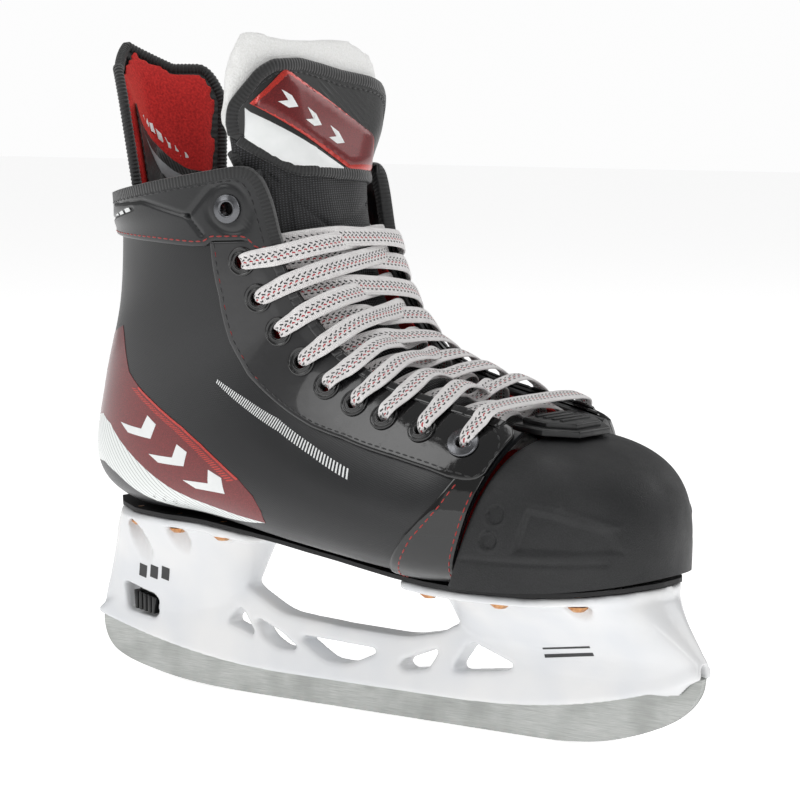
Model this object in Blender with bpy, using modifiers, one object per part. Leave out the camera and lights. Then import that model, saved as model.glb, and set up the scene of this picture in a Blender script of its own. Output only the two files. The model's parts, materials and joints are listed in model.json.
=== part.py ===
"""A right-foot ice hockey skate: laced composite boot on a moulded blade holder with a quick-release runner.

+X points to the toe, +Y to the medial side and +Z up. The origin is on the ice under the runner.
All sizes below are in millimetres. Meshes are scaled to metres as they are made.
"""

import math

import bmesh
import bpy
import numpy as np
from mathutils import Matrix, Vector

MM = 0.001
GAP = 0.4  # clearance between pieces that lie on each other
X_AXIS, Y_AXIS, Z_AXIS = (np.array(axis, float) for axis in ((1, 0, 0), (0, 1, 0), (0, 0, 1)))
LATERAL, MEDIAL = -1, 1
SIDE_NAMES = {LATERAL: "lateral", MEDIAL: "medial"}

# Boot layers, from the outside in.
SHELL_WALL = 2.4
FACING_THICKNESS = 1.6
COLLAR_THICKNESS = 1.9
BAND_THICKNESS = 1.2
LINER_THICKNESS = 3.0
OUTSOLE_THICKNESS = 1.6
FOOTBED_THICKNESS = 4.0
FOOTBED_INSET = 10.5
FOOTBED_LIFT = 1.4

# Runner, the steel blade.
RUNNER_THICKNESS = 3.0
RUNNER_HIDDEN = 5.0  # height of steel inside the holder's slot
RUNNER_OUTLINE_BOTTOM = (
    (-141, 23.5), (-140.6, 18.5), (-138.2, 13), (-133, 8.8), (-122, 5.2), (-102, 1.8), (-82, 0.4),
    (-60, 0), (72, 0), (88, 0.8), (102, 2.9), (117, 7.4), (128, 12.4), (135.5, 18), (139.8, 24), (141, 29.4),
)
POST_REAR = (-101.0, -90.0)
POST_REAR_TOP = 36.0
POST_FRONT = (92.0, 103.0)
POST_FRONT_TOP = 38.0
RUNNER_PIVOT = (141.0, 33.5)

# Blade holder.
HOLDER_REAR, HOLDER_FRONT = -142.0, 142.0
BEAM_HALF_WIDTH = 5.0
SLOT_CLEARANCE = 0.35
FLANGE_THICKNESS = 3.2
REAR_FLANGE = (-124.5, -44.0)
FRONT_FLANGE = (29.5, 127.0)
FLANGE_INSET = 1.2
BRIDGE_TOP = ((37, 38.5), (31, 35), (13.5, 31.4), (-20, 32.3), (-45.5, 33.8), (-62, 42), (-66, 46))
# Tower sections from the beam up to the flange: height, rear x, front x, half width, squareness.
REAR_TOWER = (
    (25, -141.8, -84, 4.6, 3.2), (33, -139.6, -70, 6.0, 3.0), (43, -135.8, -62.5, 9.5, 2.8),
    (53, -132.0, -58.5, 14.5, 2.6), (61, -128.8, -55.5, 19.5, 2.5), (None, -124.0, -50.5, 24.3, 2.5),
)
FRONT_TOWER = (
    (22, 62, 134, 4.6, 3.2), (32.5, 45, 142.2, 6.6, 3.0), (38, 38.5, 139.3, 10.5, 2.8),
    (46, 35.0, 133.0, 17.0, 2.6), (52, 33.0, 128.5, 24.0, 2.5), (None, 31.0, 124.5, 32.5, 2.4),
)
WINDOWS = (
    ((-74.2, 27.6), (-66.5, 34.8), (-58.5, 23.0)),
    ((-60.4, 31.4), (-46.4, 26.3), (-36.5, 19.9), (-47.9, 19.8), (-54.4, 23.0), (-57.9, 27.4)),
    ((-39.5, 26.3), (3.1, 24.9), (-9.3, 19.2), (-15.0, 17.4), (-24.7, 17.8)),
    ((11.6, 22.0), (30.2, 29.1), (24.2, 20.1), (13.5, 18.4), (10.7, 19.6)),
    ((35.3, 22.1), (43.4, 32.9), (65.0, 25.7), (57.0, 23.2), (37.1, 20.5)),
)

# Quick-release trigger in the rear tower.
TRIGGER_PIN = (-112.0, 50.0)
TRIGGER_PIN_RADIUS = 1.5
TRIGGER_HALF_WIDTH = 2.8
TRIGGER_PAD_HALF_WIDTH = 5.8
PIN_HALF_LENGTH = 8.5
PIN_CLEARANCE = 0.3
TRIGGER_SIDE_CLEARANCE = 0.6
TRIGGER_WINDOW = ((-126, 39.5), (-108.2, 34.2), (-109.8, 25.0), (-126, 27.2))
TRIGGER_CHANNEL = ((-124.5, 27.5), (-124.5, 55), (-101.5, 55), (-97.5, 42), (-100.2, 28), (-107, 25.0))
SPRING_RADIUS = 3.0
SPRING_WIRE = 0.4
SPRING_TURNS = 3

# Rivets that hold the holder to the boot: position along X, share of the sole's half width.
REAR_RIVETS = (-108.0, -85.0, -62.0)
FRONT_RIVETS = (42.0, 74.0, 104.0)
RIVET_SHARE = 0.76
RIVET_SHANK_RADIUS = 1.7
RIVET_HEAD_RADIUS = 3.6
RIVET_HEAD_HEIGHT = 1.8
POCKET_RADIUS = 4.8

# Eyelets and lace.
EYELET_PITCH = 14.9
EYELET_PITCH_FRONT = 18.0
EYELET_FIRST = 0.80  # station of the front pair
EYELET_INSET = 14.5  # distance of the eyelet row from the facing's edge
LACED_ROWS = 9
TOP_EYELET_STATION = 8.95
EYELET_OUTER = 5.5
EYELET_BORE = 2.5
EYELET_HOLE = 3.5
EYELET_RIM = 1.2
LACE_RADIUS = 1.3
FACING_WIDTH = 28.5
LACE_UNDER = 4.7  # depth of the lace's middle under the shell's outer face
LACE_LOW = 2.2
LACE_STEP = 3.2
LACE_STEPS = (0, 0.16, 0.34, 0.5, 0.66, 0.84, 1)
EYELET_ROW_STEP = 0.55
TIP_LENGTH = 12.0

# Boot stations from the toe seam to the collar. Each is a plane from the edge of the throat to the sole
# or the back of the heel: edge x, edge z, foot x, foot z, half gap of the throat, widest half width,
# share of the height where it is widest, squareness of the bottom, sideways shift of its middle.
STATIONS = np.array((
    (81, 115.5, 62, 59.6, 27, 47.5, 0.60, 4.0, 1.5),
    (64, 120.0, 36, 60.4, 27, 50.0, 0.60, 3.9, -0.5),
    (36, 126.0, -16, 65.4, 27, 46.0, 0.58, 3.5, -1.0),
    (15, 133.0, -68, 71.2, 27.5, 42.0, 0.50, 3.1, -0.5),
    (2, 141.5, -112, 73.0, 29, 40.0, 0.42, 2.6, 0),
    (-8, 152, -135.5, 86.5, 30.5, 39.5, 0.36, 2.15, 0),
    (-15.5, 162, -132.0, 118, 32, 41.0, 0.34, 2.0, 0),
    (-20.5, 171.5, -122.5, 150, 33.5, 42.0, 0.34, 2.0, 0),
    (-24, 180.5, -119.5, 177, 35, 42.5, 0.36, 2.0, 0),
    (-27, 193.5, -118.5, 185, 36, 43.0, 0.38, 2.1, 0),
    (-29, 206.5, -117.5, 192, 37, 43.5, 0.40, 2.2, 0),
))
LAST = len(STATIONS) - 1
EDGE_ANGLE = math.radians(38)  # how far round the upper curve the throat's edge sits
BOOT_MIDDLE = (-45, 0, 105)
TONGUE_BACK = (-70, 0, 130)

# Outline of the sole: x, half width. Its height follows the boot's underside.
SOLE_PLAN = np.array((
    (-127.5, 0.0), (-125, 9), (-118, 16.5), (-106, 22.5), (-88, 26), (-60, 27), (-30, 27), (0, 30),
    (30, 35), (62, 39), (90, 37), (108, 30), (120, 20.5), (126.5, 10), (129, 0.0),
))
SOLE_XS = (
    -127.0, -125, -118, -106, -88, -76, -68, -60, -50, -40, -30, -15, 0,
    15, 30, 45, 62, 76, 90, 99, 108, 114, 120, 124, 126.5, 128.3,
)
SOLE_HEEL = ((-127.5, 75.0), (-122, 73.6))  # where the underside rises behind the heel
SOLE_TOE = ((90, 60.0), (108, 61.2), (120, 62.6), (126.5, 63.6), (129, 64.0))

# Toe cap.
TOE_FRONT = 129.0
TOE_BOTTOM = 60.5
TOE_TOP_REAR = 112.5
TOE_TOP_FRONT = 107.0
TOE_HALF_WIDTH = 49.0
TOE_SQUARENESS = 0.62
TOE_PLAN_SQUARENESS = 0.92
TOE_WALL = 2.6

# Tongue: x, z of its outer face on the middle line, half width of its flat middle, radius beyond it,
# half width round the curve.
TONGUE = np.array((
    (68, 113.0, 0, 31, 22), (57, 116.5, 0, 31, 26), (41, 121.5, 0, 31, 28), (24, 129, 0, 31, 29),
    (8, 139, 0, 32, 30), (-3.5, 151.5, 0, 33, 32), (-10.5, 165, 0, 34, 34), (-15, 179, 2, 31, 36), (-18.5, 193, 5, 28, 38),
    (-21, 207, 9, 28, 43), (-23.5, 221, 17, 34, 52), (-25.5, 235, 20, 38, 47), (-27, 246.5, 22, 40, 34),
))
TONGUE_LAST = len(TONGUE) - 1
FELT_THICKNESS = 8.0
FELT_TOP = 259.0
COVER_THICKNESS = 1.4
BADGE_THICKNESS = 1.8

# Tendon guard at the back.
GUARD_BOTTOM, GUARD_TOP = 182.0, 253.0
GUARD_SHOULDER, GUARD_CORNER = 244.0, 230.0
GUARD_HALF_BOTTOM, GUARD_HALF_TOP = 25.0, 34.0
GUARD_BACK_BOTTOM, GUARD_BACK_TOP = -113.8, -129.0
GUARD_EDGE_BOTTOM, GUARD_EDGE_TOP = -99.0, -105.0
GUARD_ROUNDNESS = 1.5
GUARD_THICKNESS = 2.2
GUARD_LINING_THICKNESS = 4.0
PADDING_THICKNESS = 5.0
GUARD_MIDDLE = (-95, 0, 215)
GUARD_PIVOT = (-112.0, 192.0)  # x, z of the line that the guard bends about
STRAP_THICKNESS = 2.4
STRAP_COLUMNS = ((LATERAL, 6), (LATERAL, 0), (MEDIAL, 6))

MATERIALS = {
    "composite_black": ((0.035, 0.035, 0.038), 0.45, 0.0),
    "gloss_black": ((0.012, 0.012, 0.013), 0.12, 0.0),
    "matte_black": ((0.04, 0.04, 0.043), 0.7, 0.0),
    "fabric_black": ((0.02, 0.02, 0.022), 0.9, 0.0),
    "fabric_red": ((0.55, 0.01, 0.015), 0.9, 0.0),
    "felt_white": ((0.85, 0.85, 0.84), 0.95, 0.0),
    "holder_white": ((0.86, 0.87, 0.88), 0.35, 0.0),
    "steel": ((0.62, 0.63, 0.61), 0.32, 1.0),
    "gunmetal": ((0.25, 0.25, 0.26), 0.3, 1.0),
    "copper": ((0.72, 0.42, 0.26), 0.35, 1.0),
    "lace_white": ((0.82, 0.8, 0.8), 0.9, 0.0),
    "badge_red": ((0.45, 0.02, 0.02), 0.25, 0.0),
}


# ---------------------------------------------------------------- curves and the boot's surface

def between(table, u):
    """A row of the table at fractional index u, on a smooth curve through the rows."""
    u = min(max(u, 0.0), len(table) - 1.0)
    i = min(int(u), len(table) - 2)
    t = u - i
    p0, p1, p2, p3 = (table[min(max(i + k, 0), len(table) - 1)] for k in (-1, 0, 1, 2))
    return p1 + 0.5 * t * (p2 - p0 + t * (2 * p0 - 5 * p1 + 4 * p2 - p3 + t * (3 * (p1 - p2) + p3 - p0)))


def underside():
    """Heights of the boot's underside at SOLE_XS."""
    feet = [tuple(between(STATIONS, u)[2:4]) for u in np.linspace(4, 0, 33)]
    line = np.array(list(SOLE_HEEL) + feet + list(SOLE_TOE))
    return np.interp(SOLE_XS, line[:, 0], line[:, 1])


UNDERSIDE = underside()


def sole_at(x):
    """(height of the boot's underside, half width of the sole) at x."""
    return float(np.interp(x, SOLE_XS, UNDERSIDE)), float(np.interp(x, SOLE_PLAN[:, 0], SOLE_PLAN[:, 1]))


def half_section(u, steps=48):
    """Points of one side of the boot's outer section, as (distance from the throat's edge, half width)."""
    row = between(STATIONS, u)
    height = math.hypot(row[2] - row[0], row[3] - row[1])
    gap, wide, widest, square = row[4], row[5], row[6] * height, row[7]
    upper = np.linspace(EDGE_ANGLE, math.pi / 2, steps)
    c0, s0 = math.cos(EDGE_ANGLE), math.sin(EDGE_ANGLE)
    down = [widest * (c0 - np.cos(upper)) / c0]
    out = [gap + (wide - gap) * (np.sin(upper) - s0) / (1 - s0)]
    lower = np.linspace(0, math.pi / 2, steps)[1:]
    down.append(widest + (height - widest) * np.sin(lower) ** (2 / square))
    out.append(wide * np.maximum(np.cos(lower), 0) ** (2 / square))
    return np.concatenate(down), np.concatenate(out)


def girth(u):
    """Length of half a section, from the throat's edge to the middle of the sole or back."""
    down, out = half_section(u)
    return float(np.hypot(np.diff(down), np.diff(out)).sum())


def wall_point(side, u, w):
    """The point on the boot's outer surface at station u, w mm round from the throat's edge."""
    row = between(STATIONS, u)
    down, out = half_section(u)
    along = np.concatenate([[0], np.cumsum(np.hypot(np.diff(down), np.diff(out)))])
    s, y = np.interp(w, along, down), np.interp(w, along, out)
    if w < 0:
        s, y = s + w * 0.8, y + w * 0.6
    edge = np.array((row[0], 0, row[1]))
    foot = np.array((row[2], 0, row[3]))
    way = (foot - edge) / np.linalg.norm(foot - edge)
    return edge + way * s + Y_AXIS * (side * y + row[8])


def wall_normal(side, u, w):
    """The outward normal of the boot's surface there."""
    du, dw = 0.12, 1.5
    reach = girth(u)
    a = wall_point(side, min(u + du, LAST), w) - wall_point(side, max(u - du, 0), w)
    if w + dw > reach:
        b = wall_point(-side, u, reach - dw) - wall_point(side, u, reach - dw)
    else:
        b = wall_point(side, u, w + dw) - wall_point(side, u, max(w - dw, 0))
    n = np.cross(a, b) * -side
    return n / np.linalg.norm(n)


def on_wall(side, u, w, lift=0.0):
    return wall_point(side, u, w) + wall_normal(side, u, w) * lift


def tongue_frame(u):
    """Middle of the tongue's face at row u, its forward normal, flat half width and radius beyond it."""
    x, z, flat, radius, _ = between(TONGUE, u)
    ahead, behind = between(TONGUE, u + 0.05), between(TONGUE, u - 0.05)
    way = np.array((ahead[0] - behind[0], 0, ahead[1] - behind[1]))
    way /= np.linalg.norm(way)
    front = np.cross(Y_AXIS, way)
    if front[0] + front[2] < 0:
        front = -front
    return np.array((x, 0, z)), front, flat, radius


def tongue_point(u, across, lift=0.0):
    """A point of the tongue's outer face, across mm round from its middle line."""
    middle, front, flat, radius = tongue_frame(u)
    beyond = max(abs(across) - flat, 0)
    angle = beyond / radius
    y = min(abs(across), flat) + (radius + lift) * math.sin(angle)
    return middle + front * ((radius + lift) * math.cos(angle) - radius) + Y_AXIS * math.copysign(y, across)


def tongue_place(point):
    """(row, across, lift) of a point near the tongue's face."""
    best = None
    for u in np.linspace(0, TONGUE_LAST, 241):
        middle, front, flat, radius = tongue_frame(u)
        off = point - middle
        miss = abs(off[0] * front[2] - off[2] * front[0])
        if best is None or miss < best[0]:
            best = (miss, u, float(off @ front), flat, radius)
    _, u, height, flat, radius = best
    beyond = abs(point[1]) - flat
    if beyond <= 0:
        return u, float(point[1]), height
    angle = math.atan2(beyond, height + radius)
    return u, math.copysign(flat + radius * angle, point[1]), math.hypot(beyond, height + radius) - radius


# ---------------------------------------------------------------- making objects

def material(name):
    found = bpy.data.materials.get(name)
    if found:
        return found
    colour, roughness, metallic = MATERIALS[name]
    made = bpy.data.materials.new(name)
    made.use_nodes = True
    shader = made.node_tree.nodes["Principled BSDF"]
    shader.inputs["Base Color"].default_value = (*colour, 1)
    shader.inputs["Roughness"].default_value = roughness
    shader.inputs["Metallic"].default_value = metallic
    made.diffuse_color = (*colour, 1)
    return made


def collection(name):
    found = bpy.data.collections.get(name)
    if not found:
        found = bpy.data.collections.new(name)
        bpy.context.scene.collection.children.link(found)
    return found


def add_object(name, data, finish=None, cutter=False):
    obj = bpy.data.objects.new(name, data)
    collection("cutters" if cutter else "hockey_skate").objects.link(obj)
    if cutter:
        obj.hide_render = True
        obj.display_type = "WIRE"
    else:
        data.materials.append(material(finish))
    return obj


def mesh_from(bm, name, finish=None, cutter=False, smooth=math.radians(35)):
    """An object from a bmesh in millimetres."""
    bmesh.ops.recalc_face_normals(bm, faces=bm.faces)
    if bm.calc_volume(signed=True) < 0:
        bmesh.ops.reverse_faces(bm, faces=bm.faces)
    bmesh.ops.scale(bm, vec=(MM, MM, MM), verts=bm.verts)
    data = bpy.data.meshes.new(name)
    bm.to_mesh(data)
    bm.free()
    data.shade_smooth()
    data.set_sharp_from_angle(angle=smooth)
    return add_object(name, data, finish, cutter)


def sheet(name, rows, thickness, finish, inside):
    """An open surface through a grid of points, thickened towards the point inside it."""
    bm = bmesh.new()
    grid = [[bm.verts.new(p) for p in row] for row in rows]
    for a, b in zip(grid[:-1], grid[1:]):
        for i in range(len(a) - 1):
            bm.faces.new((a[i], a[i + 1], b[i + 1], b[i]))
    bmesh.ops.remove_doubles(bm, verts=bm.verts, dist=1e-4)
    bmesh.ops.recalc_face_normals(bm, faces=bm.faces)
    middle = Vector(inside)
    facing = 0.0
    for face in bm.faces:
        outward = (face.calc_center_median() - middle).normalized()
        facing += face.calc_area() * outward.dot(face.normal)
    if facing < 0:
        bmesh.ops.reverse_faces(bm, faces=bm.faces)
    bmesh.ops.scale(bm, vec=(MM, MM, MM), verts=bm.verts)
    data = bpy.data.meshes.new(name)
    bm.to_mesh(data)
    bm.free()
    data.shade_smooth()
    obj = add_object(name, data, finish)
    solid = obj.modifiers.new("wall", "SOLIDIFY")
    solid.thickness = thickness * MM
    solid.offset = -1
    solid.use_even_offset = True
    return obj


def corners_of(loop):
    """The loop without the points that lie on a straight line between their neighbours."""
    kept = []
    for i, (x, z) in enumerate(loop):
        (xa, za), (xb, zb) = loop[i - 1], loop[(i + 1) % len(loop)]
        if abs((x - xa) * (zb - z) - (z - za) * (xb - x)) > 1e-6:
            kept.append((x, z))
    return kept


def flat_outline(name, loops, half_width, finish=None, cutter=False, middle=0.0):
    """Closed loops in the XZ plane, the first the outline and the rest its holes, as a plate across Y."""
    data = bpy.data.curves.new(name, "CURVE")
    data.dimensions = "2D"
    data.fill_mode = "BOTH"
    data.extrude = half_width * MM
    for loop in map(corners_of, loops):
        spline = data.splines.new("POLY")
        spline.points.add(len(loop) - 1)
        spline.use_cyclic_u = True
        for point, (x, z) in zip(spline.points, loop):
            point.co = (x * MM, z * MM, 0, 1)
    guide = bpy.data.objects.new(name + "_guide", data)
    bpy.context.scene.collection.objects.link(guide)
    guide.matrix_world = Matrix.Translation((0, middle * MM, 0)) @ Matrix.Rotation(math.pi / 2, 4, "X")
    bpy.context.view_layer.update()
    graph = bpy.context.evaluated_depsgraph_get()
    flat = bpy.data.meshes.new_from_object(guide.evaluated_get(graph))
    flat.transform(guide.matrix_world)
    bpy.data.objects.remove(guide)
    bm = bmesh.new()
    bm.from_mesh(flat)
    bpy.data.meshes.remove(flat)
    bmesh.ops.remove_doubles(bm, verts=bm.verts, dist=1e-6)
    bmesh.ops.scale(bm, vec=(1 / MM,) * 3, verts=bm.verts)
    return mesh_from(bm, name, finish, cutter)


def cylinder(bm, centre, axis, radius, length, segments=12):
    """Adds a cylinder about centre to the bmesh."""
    turn = Vector(Z_AXIS).rotation_difference(Vector(axis)).to_matrix().to_4x4()
    bmesh.ops.create_cone(
        bm, cap_ends=True, segments=segments, radius1=radius, radius2=radius, depth=length,
        matrix=Matrix.Translation(Vector(centre)) @ turn)


def turned(name, profile, place, axis, finish, steps=14):
    """A ring or stud turned about an axis: profile is closed, as (radius, height), at place."""
    bm = bmesh.new()
    verts = [bm.verts.new((r, 0, h)) for r, h in profile]
    closed = profile[0][0] > 1e-6 or profile[-1][0] > 1e-6
    pairs = list(zip(verts, verts[1:] + verts[:1])) if closed else list(zip(verts, verts[1:]))
    edges = [bm.edges.new(pair) for pair in pairs]
    bmesh.ops.spin(
        bm, geom=verts + edges, cent=(0, 0, 0), axis=(0, 0, 1), angle=math.tau, steps=steps, use_merge=True)
    bmesh.ops.remove_doubles(bm, verts=bm.verts, dist=1e-4)
    turn = Vector(Z_AXIS).rotation_difference(Vector(axis)).to_matrix().to_4x4()
    bm.transform(Matrix.Translation(Vector(place)) @ turn)
    return mesh_from(bm, name, finish)


def boolean(obj, other, operation="DIFFERENCE"):
    modifier = obj.modifiers.new(operation.lower(), "BOOLEAN")
    modifier.operation = operation
    modifier.object = other
    return modifier


def plate(name, xs, half_widths, tops, thickness, finish=None, cutter=False, columns=6):
    """A plate that follows the sole: at each x it spans the half width, below the given top height."""
    bm = bmesh.new()
    layers = []
    for drop in (0, thickness):
        layers.append([[bm.verts.new((x, h * s, top - drop)) for s in np.linspace(-1, 1, columns + 1)]
                       for x, h, top in zip(xs, half_widths, tops)])
    for layer in layers:
        for a, b in zip(layer[:-1], layer[1:]):
            for i in range(columns):
                bm.faces.new((a[i], a[i + 1], b[i + 1], b[i]))
    top, low = layers
    rim_top = [r[0] for r in top] + top[-1][1:-1] + [r[-1] for r in top[::-1]] + top[0][-2:0:-1]
    rim_low = [r[0] for r in low] + low[-1][1:-1] + [r[-1] for r in low[::-1]] + low[0][-2:0:-1]
    for i in range(len(rim_top)):
        j = (i + 1) % len(rim_top)
        bm.faces.new((rim_top[i], rim_top[j], rim_low[j], rim_low[i]))
    return mesh_from(bm, name, finish, cutter)


# ---------------------------------------------------------------- steel and holder

def steel_line(x):
    """Height of the holder's lower edge, where the steel comes out."""
    rear = 14.5 * (max(-45 - x, 0) / 98) ** 2
    front = 20.0 * (max(x - 30, 0) / 113) ** 2.3
    return 10 + rear + front


def make_runner():
    top = [(x, steel_line(x) + RUNNER_HIDDEN) for x in np.linspace(131, -131, 15)]
    rear_post = [(POST_REAR[1], POST_REAR_TOP), (POST_REAR[0], POST_REAR_TOP), (POST_REAR[0], 32.5),
                 (POST_REAR[0] + 2, 31), (POST_REAR[0] + 2, 27.5), (POST_REAR[0], 26)]
    front_post = [(POST_FRONT[1], POST_FRONT_TOP), (POST_FRONT[0], POST_FRONT_TOP)]
    outline = list(RUNNER_OUTLINE_BOTTOM)
    outline += [p for p in top if p[0] > POST_FRONT[1] + 1]
    outline += [(POST_FRONT[1], steel_line(POST_FRONT[1]) + RUNNER_HIDDEN)]
    outline += front_post + [(POST_FRONT[0], steel_line(POST_FRONT[0]) + RUNNER_HIDDEN)]
    outline += [p for p in top if POST_REAR[1] + 1 < p[0] < POST_FRONT[0] - 1]
    outline += [(POST_REAR[1], steel_line(POST_REAR[1]) + RUNNER_HIDDEN)] + rear_post
    outline += [(POST_REAR[0], steel_line(POST_REAR[0]) + RUNNER_HIDDEN)]
    outline += [p for p in top if p[0] < POST_REAR[0] - 1]
    runner = flat_outline("runner", [outline], RUNNER_THICKNESS / 2, "steel")
    return runner


def flange_top(x):
    return sole_at(x)[0] - GAP - OUTSOLE_THICKNESS - GAP


def superellipse(x0, x1, half, square, count=24):
    """A closed plan outline between x0 and x1."""
    points = []
    for t in np.linspace(0, math.tau, count, endpoint=False):
        along = math.copysign(abs(math.cos(t)) ** (2 / square), math.cos(t))
        across = math.copysign(abs(math.sin(t)) ** (2 / square), math.sin(t))
        points.append(((x0 + x1) / 2 + (x1 - x0) / 2 * along, half * across))
    return points


def tower(name, levels):
    """A tower lofted through its plan sections. Its top lies inside the flange."""
    bm = bmesh.new()
    rings = []
    for z, x0, x1, half, square in levels:
        rings.append([bm.verts.new((x, y, flange_top(x) - FLANGE_THICKNESS / 2 if z is None else z))
                      for x, y in superellipse(x0, x1, half, square)])
    for a, b in zip(rings[:-1], rings[1:]):
        for i in range(len(a)):
            j = (i + 1) % len(a)
            bm.faces.new((a[i], a[j], b[j], b[i]))
    bm.faces.new(rings[0])
    bmesh.ops.triangulate(bm, faces=[bm.faces.new(rings[-1])])
    return mesh_from(bm, name, cutter=True)


def beam_outline():
    lower = [(x, steel_line(x)) for x in np.linspace(HOLDER_REAR, HOLDER_FRONT, 23)]
    front = [(HOLDER_FRONT - 0.4, 33), (128, 36), (60, 38.5)]
    rear = [(-100, 40), (-128, 33), (HOLDER_REAR + 0.5, 26.5)]
    return lower + front + list(BRIDGE_TOP) + rear


def make_holder():
    """Two towers on a slotted beam with a truss of windows, and a flange on each tower for the boot."""
    holder = flat_outline("holder", [beam_outline()], BEAM_HALF_WIDTH, "holder_white")
    boolean(holder, tower("rear_tower_body", REAR_TOWER), "UNION")
    boolean(holder, tower("front_tower_body", FRONT_TOWER), "UNION")
    for label, (x0, x1) in (("rear", REAR_FLANGE), ("front", FRONT_FLANGE)):
        xs = [x0, x0 + 1.5, *(x for x in SOLE_XS if x0 + 2.5 < x < x1 - 2.5), x1 - 1.5, x1]
        ends = [min(abs(x - x0), abs(x - x1)) for x in xs]
        halves = [max(sole_at(x)[1] - FLANGE_INSET - max(5 - end, 0) ** 2 / 4, 3) for x, end in zip(xs, ends)]
        tops = [flange_top(x) for x in xs]
        flange = plate(f"{label}_flange_body", xs, halves, tops, FLANGE_THICKNESS, cutter=True)
        boolean(holder, flange, "UNION")
    for i, window in enumerate(WINDOWS):
        boolean(holder, flat_outline(f"window_{i + 1}_cutter", [window], 30, cutter=True))
    cut_slot(holder)
    cut_rivet_bays(holder)
    cut_trigger_space(holder)
    return holder


def cut_slot(holder):
    """The slot for the runner, with pockets for its two posts."""
    over = RUNNER_HIDDEN + GAP
    xs = np.linspace(HOLDER_REAR - 5, HOLDER_FRONT + 5, 23)
    loop = [(x, steel_line(x) - 6) for x in xs] + [(x, steel_line(x) + over) for x in xs[::-1]]
    half = RUNNER_THICKNESS / 2 + SLOT_CLEARANCE
    boolean(holder, flat_outline("slot_cutter", [loop], half, cutter=True))
    for label, x0, x1, top in (
            ("rear", POST_REAR[0] - 1.4, POST_REAR[1] + 1.8, POST_REAR_TOP + 1),
            ("front", POST_FRONT[0] - 1.2, POST_FRONT[1] + 1.6, POST_FRONT_TOP + 1)):
        base = steel_line((x0 + x1) / 2) - 4
        post = [(x0, base), (x1, base), (x1, top), (x0, top)]
        boolean(holder, flat_outline(f"{label}_post_cutter", [post], half + 0.05, cutter=True))


def cut_rivet_bays(holder):
    """Upright scallops in the towers that clear the rivet heads, and the rivet holes through the flange."""
    bays = bmesh.new()
    holes = bmesh.new()
    for x, y in rivet_places():
        under = flange_top(x) - FLANGE_THICKNESS
        cylinder(bays, (x, y, under - 15), Z_AXIS, POCKET_RADIUS, 30, 12)
        cylinder(holes, (x, y, under + 6), Z_AXIS, RIVET_SHANK_RADIUS + GAP, 24, 8)
    boolean(holder, mesh_from(bays, "rivet_bay_cutter", cutter=True))
    boolean(holder, mesh_from(holes, "rivet_hole_cutter", cutter=True))


def rivet_places():
    return [(x, side * RIVET_SHARE * sole_at(x)[1])
            for x in (*REAR_RIVETS, *FRONT_RIVETS) for side in (LATERAL, MEDIAL)]


def make_rivets():
    counts = {"rear": 0, "front": 0}
    for x, y in rivet_places():
        where = "rear" if x < 0 else "front"
        counts[where] += 1
        under = flange_top(x) - FLANGE_THICKNESS - GAP
        top = sole_at(x)[0] - GAP
        head = -RIVET_HEAD_HEIGHT
        profile = [(0, head), (RIVET_HEAD_RADIUS * 0.6, head), (RIVET_HEAD_RADIUS, head * 0.35),
                   (RIVET_HEAD_RADIUS, 0), (RIVET_SHANK_RADIUS, 0), (RIVET_SHANK_RADIUS, top - under),
                   (0, top - under)]
        turned(f"{where}_rivet_{counts[where]}", profile, (x, y, under), Z_AXIS, "copper", steps=10)


def cut_trigger_space(holder):
    boolean(holder, flat_outline("trigger_window_cutter", [TRIGGER_WINDOW], 40, cutter=True))
    half = TRIGGER_HALF_WIDTH + TRIGGER_SIDE_CLEARANCE
    boolean(holder, flat_outline("trigger_channel_cutter", [TRIGGER_CHANNEL], half, cutter=True))
    bm = bmesh.new()
    middle = (TRIGGER_PIN[0], 0, TRIGGER_PIN[1])
    cylinder(bm, middle, Y_AXIS, TRIGGER_PIN_RADIUS + PIN_CLEARANCE, 2 * PIN_HALF_LENGTH + 1, 12)
    boolean(holder, mesh_from(bm, "pin_hole_cutter", cutter=True))


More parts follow.
